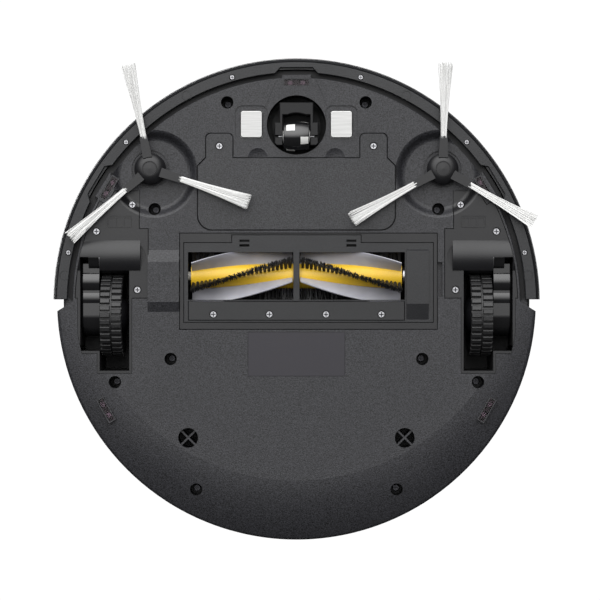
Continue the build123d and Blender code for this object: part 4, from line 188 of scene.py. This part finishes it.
CHARCOAL = (0.026, 0.0262, 0.0300)
mats = {
    "housing": plastic("housing_plastic", CHARCOAL, 0.46, 1300, 0.00012, 0.80),
    "bumper": plastic("bumper_plastic", (0.016, 0.0165, 0.0185), 0.40, 1300, 0.00008, 0.50),
    "module": plastic("module_plastic", (0.011, 0.011, 0.0125), 0.36, 900, 0.00003, 0.2),
    "cover": plastic("cover_plastic", (0.024, 0.0245, 0.0275), 0.42, 1300, 0.00011, 0.75),
    "guard": plastic("guard_plastic", (0.013, 0.0135, 0.0155), 0.34, 900, 0.00005, 0.3),
    # Near-black plastic: painted shade in wells, seams and seats, and the colour of the hub rings
    "black_and_painted_shade": plastic("black_and_painted_shade_plastic", (0.006, 0.006, 0.007), 0.6, 900, 0.00003, 0.2),
    "fork": plastic("fork_black", (0.009, 0.009, 0.010), 0.34, 900, 0.00002, 0.1, sheen=0.3),
    "gloss": plastic("gloss_black", (0.010, 0.010, 0.011), 0.12, coat=0.6),
    "panel": plastic("panel_gloss", (0.014, 0.014, 0.016), 0.10, coat=0.8),
    "hub": plastic("hub_plastic", (0.012, 0.012, 0.014), 0.33, 900, 0.00003, 0.15),
    "tyre": plastic("tyre_rubber", (0.020, 0.020, 0.021), 0.42, 1100, 0.00010, 0.35),
    "core": plastic("core_yellow", (0.83, 0.52, 0.03), 0.35, 900, 0.00002, 0.05),
    "black_bristle": plastic("black_bristle", (0.012, 0.012, 0.013), 0.45, speckle=0.2),
    "white_bristle": plastic("white_bristle", (0.88, 0.88, 0.87), 0.35, speckle=0.06),
    "gear": plastic("gear_plastic", (0.72, 0.71, 0.66), 0.4, 900, 0.00001, 0.04),
    "board": plastic("board_green", (0.02, 0.14, 0.05), 0.35, 500, 0.00002, 0.3),
    "cells": plastic("cell_wrap", (0.05, 0.16, 0.40), 0.25, speckle=0.05, coat=0.3),
    "label": plastic("label_plate", (0.022, 0.020, 0.027), 0.34, 600, 0.00001, 0.06),
    "bin": plastic("bin_plastic", (0.040, 0.040, 0.045), 0.18, speckle=0.08, coat=0.4),
    "filter": plastic("filter_fleece", (0.80, 0.80, 0.76), 0.9, 1800, 0.0003, 0.1),
    "squeegee": plastic("squeegee_plastic", (0.012, 0.0125, 0.014), 0.34, 900, 0.00003, 0.15),
    "white": plastic("white_plastic", (0.80, 0.80, 0.78), 0.3, 900, 0.00001, 0.03),
    "window": plastic("window_gloss", (0.012, 0.006, 0.009), 0.06, coat=1.0),
    "zinc": metal("screw_zinc", (0.46, 0.46, 0.48), 0.26, streak=1200),
    # Dark metal: painted shade in the screws' cross recesses
    "recess_painted_shade": metal("screw_recess_painted_shade", (0.05, 0.05, 0.055), 0.4, streak=1200),
    # Darker zinc: painted shade on screw parts deep in wells
    "painted_shade_zinc": metal("painted_shade_zinc", (0.10, 0.10, 0.11), 0.45, streak=1200),
    "steel": metal("steel", (0.55, 0.55, 0.57), 0.3, (0.05, 1, 1)),
    "contact": metal("contact_steel", (0.48, 0.48, 0.475), 0.34, (0.02, 1, 1), 2400, 0.00002),
    "brass": metal("pinion_brass", (0.74, 0.54, 0.22), 0.3),
}

# Rubber that lets some light through, smoked windows and clear diodes
mats["blade"] = tinted(
    "blade_rubber",
    (0.38, 0.38, 0.42),
    0.42,
    60,
    (0.33, 0.33, 0.37),
    (0.43, 0.43, 0.47),
    {"Subsurface Weight": 0.25, "Subsurface Radius": (0.002, 0.002, 0.003)},
)
mats["sensor"] = tinted(
    "sensor_dark",
    (0.42, 0.34, 0.38),
    0.0,
    40,
    (0.40, 0.32, 0.36),
    (0.46, 0.37, 0.42),
    {"Transmission Weight": 1.0, "IOR": 1.3},
)
mats["diode"] = tinted(
    "diode_clear",
    (0.42, 0.42, 0.46),
    0.08,
    300,
    (0.36, 0.36, 0.40),
    (0.48, 0.48, 0.52),
    {"Coat Weight": 1.0},
)

NODE_MATERIALS = {
    "housing": ["bottom_housing", "top_housing"],
    "bumper": ["bumper_shell", "bumper_base_ring"],
    "panel": ["top_panel"],
    "window": ["bumper_window"],
    "module": [
        "left_wheel_frame",
        "right_wheel_frame",
        "left_side_brush_hub",
        "right_side_brush_hub",
        "side_brush_motors",
        "brush_housing",
        "brush_gear_cover",
        "bin_latch_button",
        "suction_duct",
        "fan_housing",
    ],
    "guard": ["brush_cover"],
    "cover": ["battery_cover"],
    "fork": ["caster_fork"],
    "gloss": ["left_arm_case", "right_arm_case", "bumper_switches", "fan_impeller", "caster_roller"],
    "hub": ["left_wheel_hub", "right_wheel_hub"],
    "core": ["brush_core"],
    "gear": ["brush_drive_gear", "brush_idler_gear"],
    "board": ["main_board"],
    "cells": ["battery_pack"],
    "label": ["blank_label"],
    "bin": ["dust_bin", "bin_lid"],
    "filter": ["bin_filter"],
    "squeegee": ["squeegee_plate"],
    "zinc": ["body_screws", "bumper_screws", "squeegee_screws"],
    "steel": [
        "power_button",
        "bumper_springs",
        "wheel_springs",
        "caster_axle",
        "left_wheel_axle",
        "right_wheel_axle",
        "left_drive_motor",
        "right_drive_motor",
        "brush_motor",
        "brush_bearing",
        "fan_motor",
    ],
    "contact": ["charging_contacts"],
    "brass": ["brush_motor_pinion"],
    "sensor": ["cliff_sensor_windows"],
    "diode": ["cliff_sensor_diodes"],
    "tyre": ["left_tyre", "right_tyre"],
    "blade": ["brush_blades"],
    "black_bristle": ["brush_bristle_rows"],
    "white_bristle": ["left_side_brush_bristles", "right_side_brush_bristles"],
}


def dress(obj, material, smooth_angle=32):
    """Gives the object its material, and smooth shading across gentle edges."""
    obj.data.materials.clear()
    obj.data.materials.append(mats[material])
    obj.data.polygons.foreach_set("use_smooth", [True] * len(obj.data.polygons))
    obj.data.set_sharp_from_angle(angle=math.radians(smooth_angle))


for material, names in NODE_MATERIALS.items():
    for name in names:
        dress(nodes[name], material)


def add_material(obj, material):
    """Adds a material to the object and gives the number of its slot."""
    obj.data.materials.append(mats[material])
    return len(obj.data.materials) - 1


def paint(name, material, chosen):
    """Gives the faces that are chosen by their middle a second material."""
    obj = nodes[name]
    slot = add_material(obj, material)
    for face in obj.data.polygons:
        if chosen(obj.matrix_world @ face.center / MM):
            face.material_index = slot


def within(middle, area):
    """Whether a point lies in an area seen from below."""
    x0, x1, y0, y1 = area
    return x0 < middle.x < x1 and y0 < middle.y < y1


def around(name, margin):
    """The area of a node seen from below, grown all round, in millimetres."""
    low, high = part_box(name)
    return (
        low[0] / MM - margin,
        high[0] / MM + margin,
        low[1] / MM - margin,
        high[1] / MM + margin,
    )


# Painted shade: faces seen only through a seam or deep in a well get a near-black material in place
# of the shade that falls there
SEATS = [around(name, SEAT_MARGIN) for name in ("battery_cover", "brush_housing", "blank_label")]


def housing_painted_shade(middle):
    """Whether a face of the bottom housing lies in a well, a seam or a seat, where it gets painted
    shade.
    """
    if middle.z > HOUSING_SEAM_Z:
        return False
    if middle.z > DEEP_Z and middle.xy.length < WELL_REACH:
        return True
    if middle.z < UNDERSIDE + SEAT_DEPTH:
        return False
    if middle.y > COVER_EAR_FRONT and any(within(middle, seat) for seat in SEATS):
        return not within(middle, BETWEEN_EARS)
    if any(abs(middle.x) > x and y0 < middle.y < y1 for x, y0, y1 in MODULE_SEATS):
        return True
    return middle.y < PLATE_REAR and middle.xy.length > PLATE_EDGE


def deep(middle):
    """Whether a face lies deep inside the robot."""
    return middle.z > DEEP_Z


# Painted shade: near-black on faces of the housing, caster fork, brush housing and wheel frames that
# lie deep in wells or in seams and seats
paint("bottom_housing", "black_and_painted_shade", housing_painted_shade)
# Painted shade: the parts of the body screws deep in wells get the darker zinc
paint("body_screws", "painted_shade_zinc", deep)
paint("caster_fork", "black_and_painted_shade", deep)
paint("brush_housing", "black_and_painted_shade", lambda middle: middle.z > UNDERSIDE + SEAT_DEPTH)
for side in ("left", "right"):
    paint(f"{side}_wheel_frame", "black_and_painted_shade", deep)


def screws_of(obj):
    """The faces of each screw of a node, as (face, middle) pairs grouped by place."""
    groups = []
    for face in obj.data.polygons:
        middle = obj.matrix_world @ face.center / MM
        for group in groups:
            if (group[0][1].xy - middle.xy).length < SCREW_SPAN:
                group.append((face, middle))
                break
        else:
            groups.append([(face, middle)])
    return groups


# Painted shade: the cross recesses of the screws get a dark metal in place of the shade that falls in
# them
for name in ("body_screws", "bumper_screws", "squeegee_screws"):
    obj = nodes[name]
    slot = add_material(obj, "recess_painted_shade")
    for group in screws_of(obj):
        head = min(middle.z for _, middle in group)
        shaft = [middle.xy for _, middle in group if middle.z > head + SCREW_SHAFT_DEPTH]
        centre = sum(shaft, Vector((0, 0))) / max(1, len(shaft))
        low, high = (head + depth for depth in RECESS_DEPTHS)
        for face, middle in group:
            if low < middle.z < high and (middle.xy - centre).length < RECESS_REACH:
                face.material_index = slot


# ================= Pieces made here
def skin(rings, sides, closed=False, flip=False):
    """Faces between rings of points, the last ring joined to the first if closed."""
    faces = []
    for i in range(rings if closed else rings - 1):
        here, after = i * sides, (i + 1) % rings * sides
        for k in range(sides):
            m = (k + 1) % sides
            if flip:
                faces.append((here + k, after + k, after + m, here + m))
            else:
                faces.append((here + k, here + m, after + m, after + k))
    return faces


def ends(rings, sides):
    """The faces that close the first and the last ring."""
    return [tuple(reversed(range(sides))), tuple(range((rings - 1) * sides, rings * sides))]


class Soup:
    """Collects the points and faces of one mesh, in millimetres."""

    def __init__(self):
        self.points = []
        self.faces = []

    def add(self, points, faces):
        start = len(self.points)
        self.points += [tuple(point) for point in points]
        self.faces += [tuple(start + i for i in face) for face in faces]

    def tube(self, path, radii, sides=3, turn=0.0):
        """A thin tapering rod along a path, closed at both ends."""
        points = []
        count = len(path)
        for i, (centre, radius) in enumerate(zip(path, radii)):
            ahead = path[min(i + 1, count - 1)] - path[max(i - 1, 0)]
            across = ahead.orthogonal().normalized()
            other = ahead.normalized().cross(across)
            for k in range(sides):
                angle = turn + 2 * math.pi * k / sides
                points.append(centre + radius * (math.cos(angle) * across + math.sin(angle) * other))
        self.add(points, skin(count, sides) + ends(count, sides))

    def build(self, name, material, body, slot, smooth_angle=50):
        """The finished object, riding on that body."""
        mesh = bpy.data.meshes.new(name)
        mesh.from_pydata([tuple(c * MM for c in point) for point in self.points], [], self.faces)
        mesh.validate()
        obj = bpy.data.objects.new(name, mesh)
        bpy.context.scene.collection.objects.link(obj)
        dress(obj, material, smooth_angle)
        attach(obj, body)
        return obj


def joint_place(name):
    """The joint's place in the row frame, in millimetres."""
    return Vector(joints[name]["pos_m"]) / MM


# ---- Side brush bristles: loose filaments in three tufts
dice = random.Random(11)
FILAMENT_RADII = (0.27, 0.27, 0.26, 0.25, 0.23, 0.14)  # from root to tip
UNEVEN_TIPS, STRAY = 1.4, 0.35
TUFT_ROOT_WIDTH, TUFT_SPREAD, SPREAD_POWER = 1.7, 3.0, 1.6
TUFT_ROOT_THICK, TUFT_FLATTENING = 1.3, 0.8


def bristle_tuft(soup, centre, angle):
    """One tuft of filaments that fans out, from the hub's arm to the floor."""
    out = Vector((math.cos(angle), math.sin(angle), 0))
    across = Vector((-out.y, out.x, 0))
    for _ in range(BRISTLES_IN_TUFT):
        u, v = dice.uniform(-1, 1), dice.uniform(-1, 1)
        reach = BRISTLE_TIP - abs(dice.gauss(0, UNEVEN_TIPS))
        stray = dice.gauss(0, STRAY)
        path = []
        for step in range(len(FILAMENT_RADII)):
            share = step / (len(FILAMENT_RADII) - 1)
            distance = BRISTLE_ROOT + share * (reach - BRISTLE_ROOT)
            width = TUFT_ROOT_WIDTH + TUFT_SPREAD * share**SPREAD_POWER
            height = BRISTLE_ROOT_Z + share * (BRISTLE_TIP_Z - BRISTLE_ROOT_Z)
            side = u * width + stray * share**2
            lift = v * (TUFT_ROOT_THICK - TUFT_FLATTENING * share)
            path.append(Vector((centre.x, centre.y, height + lift)) + distance * out + side * across)
        soup.tube(path, FILAMENT_RADII, 4, dice.uniform(0, 2))


for side, phase in SIDE_BRUSH_PHASES.items():
    tufts = Soup()
    place = joint_place(f"{side}_side_brush_spin")
    for turn in range(3):
        bristle_tuft(tufts, place, math.radians(phase + 120 * turn))
    name, body = f"{side}_bristle_filaments", f"{side}_side_brush"
    piece = tufts.build(name, "white_bristle", body, "bristle_white")
    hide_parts(f"{side}_side_brush_bristles")


# ---- Tyres: a band with two staggered rows of tread blocks
def band(soup, centre, x0, x1, inner, outer, count=144):
    """A plain ring along X."""
    points = []
    for i in range(count):
        angle = 2 * math.pi * i / count
        out = Vector((0, math.cos(angle), math.sin(angle)))
        for x, radius in ((x0, inner), (x1, inner), (x1, outer), (x0, outer)):
            points.append(centre + Vector((x, 0, 0)) + radius * out)
    soup.add(points, skin(count, 4, closed=True))


BLOCK_PROFILE = (  # radius, how far each side draws in
    (TYRE_GROOVE_RADIUS - 0.4, 0.0),
    (TYRE_RADIUS - 0.35, 0.12),
    (TYRE_RADIUS, 0.45),
)


def tread_block(soup, centre, x0, x1, angle, half_angle):
    """One block of the tread, a little narrower at its top than at its foot."""
    points = []
    for radius, shrink in BLOCK_PROFILE:
        for x, sign in ((x0 + shrink, -1), (x1 - shrink, -1), (x1 - shrink, 1), (x0 + shrink, 1)):
            turn = angle + sign * (half_angle - shrink / TYRE_RADIUS)
            out = Vector((0, math.cos(turn), math.sin(turn)))
            points.append(centre + Vector((x, 0, 0)) + radius * out)
    rings = len(BLOCK_PROFILE)
    soup.add(points, skin(rings, 4) + ends(rings, 4))


for side in ("left", "right"):
    centre = joint_place(f"{side}_wheel_roll")
    tyre = Soup()
    half = TYRE_WIDTH / 2
    band(tyre, centre, -half, half, TYRE_BORE, TYRE_GROOVE_RADIUS)
    band(tyre, centre, -0.5, 0.5, TYRE_GROOVE_RADIUS - 0.5, TYRE_GROOVE_RADIUS + 0.5)
    pitch = 2 * math.pi / TREAD_BLOCKS
    block = TREAD_HALF_SHARE * pitch
    for i in range(TREAD_BLOCKS):
        tread_block(tyre, centre, -half, -TREAD_ROW_GAP, i * pitch, block)
        tread_block(tyre, centre, TREAD_ROW_GAP, half, (i + 0.5) * pitch, block)
    piece = tyre.build(f"{side}_treaded_tyre", "tyre", f"{side}_wheel", "tyre_rubber", 25)
    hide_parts(f"{side}_tyre")

# ---- Roller: rubber blades and rows of bristle tufts in a chevron
axis = joint_place("main_brush_spin")


def chevron(side, phase, share):
    """The place along the roller and the direction out from it, at a share of one half."""
    x = side * (ROLLER_HALF - share * (ROLLER_HALF - CHEVRON_GAP))
    angle = math.radians(phase + share * CHEVRON_TWIST)
    return x, Vector((0, math.sin(angle), -math.cos(angle)))


# radius, half thickness
BLADE_PROFILE = [(8.0, 0.95), (10.0, 0.8), (15.0, 0.65), (17.9, 0.6), (18.5, 0.35)]
BLADE_STEPS = 40
blades = Soup()
outline = BLADE_PROFILE + [(radius, -half) for radius, half in reversed(BLADE_PROFILE)]
for side in (-1, 1):
    for turn in range(3):
        points = []
        for step in range(BLADE_STEPS + 1):
            x, out = chevron(side, BLADE_PHASE + 120 * turn, step / BLADE_STEPS)
            across = Vector((1, 0, 0)).cross(out)
            for radius, half in outline:
                points.append(axis + Vector((x, 0, 0)) + radius * out + half * across)
        shape = BLADE_STEPS + 1, len(outline)
        blades.add(points, skin(*shape) + ends(*shape))
piece = blades.build("roller_blades", "blade", "main_brush", "blade_rubber")
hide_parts("brush_blades")

TUFTS_IN_ROW = 24
BRISTLES_IN_ROW_TUFT = 46
ROW_TUFT_START = 0.4  # of a tuft's pitch
ROW_BRISTLE_RADII = (0.24, 0.24, 0.20)
ROW_REACH, ROW_ROUNDING, ROW_UNEVENNESS = 17.9, 1.1, 0.4
rows = Soup()
for side in (-1, 1):
    for turn in range(3):
        for tuft in range(TUFTS_IN_ROW):
            share = (tuft + ROW_TUFT_START) / TUFTS_IN_ROW
            x, out = chevron(side, BLADE_PHASE + ROW_OFFSET + 120 * turn, share)
            across = Vector((1, 0, 0)).cross(out)
            foot = axis + Vector((x, 0, 0))
            for _ in range(BRISTLES_IN_ROW_TUFT):
                ring, spin = math.sqrt(dice.random()), dice.uniform(0, 2 * math.pi)
                along, wide = ring * math.cos(spin), ring * math.sin(spin)
                reach = ROW_REACH - ROW_ROUNDING * ring**2 - dice.uniform(0, ROW_UNEVENNESS)
                path = []
                for radius, spread in ((7.9, 0.8), (13.5, 1.2), (reach, 2.3)):
                    sideways = Vector((along * spread, 0, 0))
                    path.append(foot + sideways + radius * out + wide * spread * across)
                rows.tube(path, ROW_BRISTLE_RADII, 3, dice.uniform(0, 2))
piece = rows.build("roller_bristle_tufts", "black_bristle", "main_brush", "bristle_black")
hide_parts("brush_bristle_rows")

# ---- Caster: white sensing marks round the barrel-shaped roller, and its white bearings
wheel = joint_place("caster_roll")
MARK_COLUMNS = ((-6.8, -1.0, -50), (2.8, 8.0, 5))  # x from, to, angle of the first mark
MARK_ANGLE = 30
MARK_STEPS = 8
MARK_LIFT, MARK_SINK = 0.08, 0.3  # how far the marks stand proud of the roller and reach into it
MARK_TOP_POINTS = 5
BEARING_BANDS = ((-9.0, -8.6), (8.6, 9.0))  # x from, to
BEARING_RADII = (1.2, 4.2)


def barrel_radius(x):
    """The roller's radius at a distance along its axis from its middle."""
    return CASTER_RADIUS - CASTER_BULGE * (x / CASTER_HALF) ** 2


marks = Soup()
for x0, x1, first in MARK_COLUMNS:
    for turn in range(3):
        points = []
        outline = [(x0, -MARK_SINK), (x1, -MARK_SINK)]
        for k in range(MARK_TOP_POINTS):
            outline.append((x1 + (x0 - x1) * k / (MARK_TOP_POINTS - 1), MARK_LIFT))
        for step in range(MARK_STEPS + 1):
            angle = math.radians(first + 120 * turn + MARK_ANGLE * step / MARK_STEPS)
            out = Vector((0, math.sin(angle), -math.cos(angle)))
            for x, lift in outline:
                points.append(wheel + Vector((x, 0, 0)) + (barrel_radius(x) + lift) * out)
        shape = MARK_STEPS + 1, len(outline)
        marks.add(points, skin(*shape) + ends(*shape))
for x0, x1 in BEARING_BANDS:
    band(marks, wheel, x0, x1, *BEARING_RADII, 48)
marks.build("caster_marks", "white", "caster_wheel", "bristle_white", 30)

# ---- A dark ring round the middle of each side brush's hub
HUB_RING_STEPS = 96
for side in ("left", "right"):
    centre = joint_place(f"{side}_side_brush_spin")
    ring = Soup()
    points = []
    for i in range(HUB_RING_STEPS):
        angle = 2 * math.pi * i / HUB_RING_STEPS
        out = Vector((math.cos(angle), math.sin(angle), 0))
        for radius, z in HUB_RING:
            points.append(Vector((centre.x, centre.y, z)) + radius * out)
    ring.add(points, skin(HUB_RING_STEPS, len(HUB_RING), closed=True, flip=True))
    ring.build(f"{side}_hub_ring", "black_and_painted_shade", f"{side}_side_brush", "module_plastic", 40)

# ---- Bezels round the windows of the cliff sensors
BEZEL_OUTER, BEZEL_INNER = (17.8, 5.4), (16.4, 4.0)
BEZEL_Z = (9.1, 9.9)


def box_faces(soup, place, x0, x1, y0, y1):
    """A box between the bezel's two heights, turned and placed with a sensor."""
    outline = ((x0, y0), (x1, y0), (x1, y1), (x0, y1))
    corners = [place @ Vector((x, y, z)) for z in BEZEL_Z for x, y in outline]
    soup.add(
        corners,
        [(0, 3, 2, 1), (4, 5, 6, 7), (0, 1, 5, 4), (1, 2, 6, 5), (2, 3, 7, 6), (3, 0, 4, 7)],
    )


bezels = Soup()
for angle, radius in SENSOR_PLACES:  # degrees round from the front, and millimetres from the middle
    turn = math.radians(angle)
    spot = Vector((radius * math.sin(turn), -radius * math.cos(turn), 0))
    place = Matrix.Translation(spot) @ Matrix.Rotation(turn, 4, "Z")
    (ox, oy), (ix, iy) = ((v / 2 for v in size) for size in (BEZEL_OUTER, BEZEL_INNER))
    bars = ((-ox, ox, -oy, -iy), (-ox, ox, iy, oy), (-ox, -ix, -iy, iy), (ix, ox, -iy, iy))
    for bar in bars:
        box_faces(bezels, place, *bar)
bezels.build("sensor_bezels", "cover", "chassis", "gloss_black", 30)

# ================= Camera, lights, floor and world
PHOTO_MIDDLE = Vector((2.4, -1.1)) * MM  # what the photograph's middle shows
VIEW_WIDTH = 0.4038  # metres across the picture at the underside
CAMERA_DISTANCE = 1.5
SENSOR_WIDTH = 36
FLOOR_HALF = 2  # metres
BACKDROP_STRENGTH = 1.05
SKY_STRENGTH = 0.06
LIGHT_BELOW = ((-0.12, -0.68, -0.72), 0.50, 3.3)  # direction, cosine at its edge, strength
LIGHT_ABOVE = ((0.0, 0.0, 1.0), 0.86, 1.4)
camera_data = bpy.data.cameras.new("camera")
camera = bpy.data.objects.new("camera", camera_data)
camera.location = (PHOTO_MIDDLE.x, PHOTO_MIDDLE.y, -CAMERA_DISTANCE)
camera.rotation_euler = (math.pi, 0, 0)
camera_data.sensor_width = SENSOR_WIDTH
camera_data.lens = SENSOR_WIDTH * (CAMERA_DISTANCE + UNDERSIDE * MM) / VIEW_WIDTH
camera_data.clip_end = 20
bpy.context.scene.collection.objects.link(camera)
bpy.context.scene.camera = camera


def area_light(name, place, size, power):
    """A square light aimed at the middle of the floor."""
    data = bpy.data.lights.new(name, "AREA")
    data.size = size
    data.energy = power
    light = bpy.data.objects.new(name, data)
    light.location = place
    light.rotation_euler = (-Vector(place)).to_track_quat("-Z", "Y").to_euler()
    bpy.context.scene.collection.objects.link(light)


area_light("soft_above", (-0.25, 0.15, 1.7), 1.5, 20)

world = bpy.data.worlds.new("world")
bpy.context.scene.world = world
world.use_nodes = True
tree = world.node_tree
tree.nodes.clear()
sky = tree.nodes.new("ShaderNodeTexCoord")


def soft_light(direction, edge, strength):
    """A soft round light in the sky towards a direction, fading out to its edge."""
    aim = tree.nodes.new("ShaderNodeVectorMath")
    aim.operation = "DOT_PRODUCT"
    aim.inputs[1].default_value = Vector(direction).normalized()
    tree.links.new(sky.outputs["Generated"], aim.inputs[0])
    fade = tree.nodes.new("ShaderNodeMapRange")
    fade.interpolation_type = "SMOOTHSTEP"
    fade.inputs["From Min"].default_value = edge
    fade.inputs["From Max"].default_value = 1.0
    fade.inputs["To Min"].default_value = 0.0
    fade.inputs["To Max"].default_value = strength
    tree.links.new(aim.outputs["Value"], fade.inputs["Value"])
    return fade.outputs["Result"]


def total(first, second):
    """The sum of two strengths, each a number or a socket."""
    node = tree.nodes.new("ShaderNodeMath")
    node.operation = "ADD"
    for socket, value in zip(node.inputs, (first, second)):
        if isinstance(value, float):
            socket.default_value = value
        else:
            tree.links.new(value, socket)
    return node.outputs["Value"]


strength = total(SKY_STRENGTH, soft_light(*LIGHT_BELOW))
strength = total(strength, soft_light(*LIGHT_ABOVE))
lit = tree.nodes.new("ShaderNodeBackground")
lit.inputs["Color"].default_value = (1, 1, 1, 1)
tree.links.new(strength, lit.inputs["Strength"])
seen = tree.nodes.new("ShaderNodeBackground")
seen.inputs["Color"].default_value = (1, 1, 1, 1)
seen.inputs["Strength"].default_value = BACKDROP_STRENGTH
path = tree.nodes.new("ShaderNodeLightPath")
mix = tree.nodes.new("ShaderNodeMixShader")
output = tree.nodes.new("ShaderNodeOutputWorld")
tree.links.new(path.outputs["Is Camera Ray"], mix.inputs["Fac"])
tree.links.new(lit.outputs["Background"], mix.inputs[1])
tree.links.new(seen.outputs["Background"], mix.inputs[2])
tree.links.new(mix.outputs["Shader"], output.inputs["Surface"])

# The floor is seen only from above, and takes no light from what is under it
floor_mesh = bpy.data.meshes.new("floor")
floor_corners = [(x * FLOOR_HALF, y * FLOOR_HALF, 0) for x, y in ((-1, -1), (1, -1), (1, 1), (-1, 1))]
floor_mesh.from_pydata(floor_corners, [], [(0, 1, 2, 3)])
floor = bpy.data.objects.new("floor", floor_mesh)
bpy.context.scene.collection.objects.link(floor)
floor_material, tree, shader = new_material("floor", (0.80, 0.80, 0.80), 0.8)
side = tree.nodes.new("ShaderNodeNewGeometry")
clear = tree.nodes.new("ShaderNodeBsdfTransparent")
mix = tree.nodes.new("ShaderNodeMixShader")
tree.links.new(side.outputs["Backfacing"], mix.inputs["Fac"])
tree.links.new(shader.outputs["BSDF"], mix.inputs[1])
tree.links.new(clear.outputs["BSDF"], mix.inputs[2])
tree.links.new(mix.outputs["Shader"], tree.nodes["Material Output"].inputs["Surface"])
floor.data.materials.append(floor_material)
floor.visible_shadow = False
floor.visible_diffuse = False
floor.visible_glossy = False
floor.visible_transmission = False

bpy.context.scene.view_settings.view_transform = "Standard"
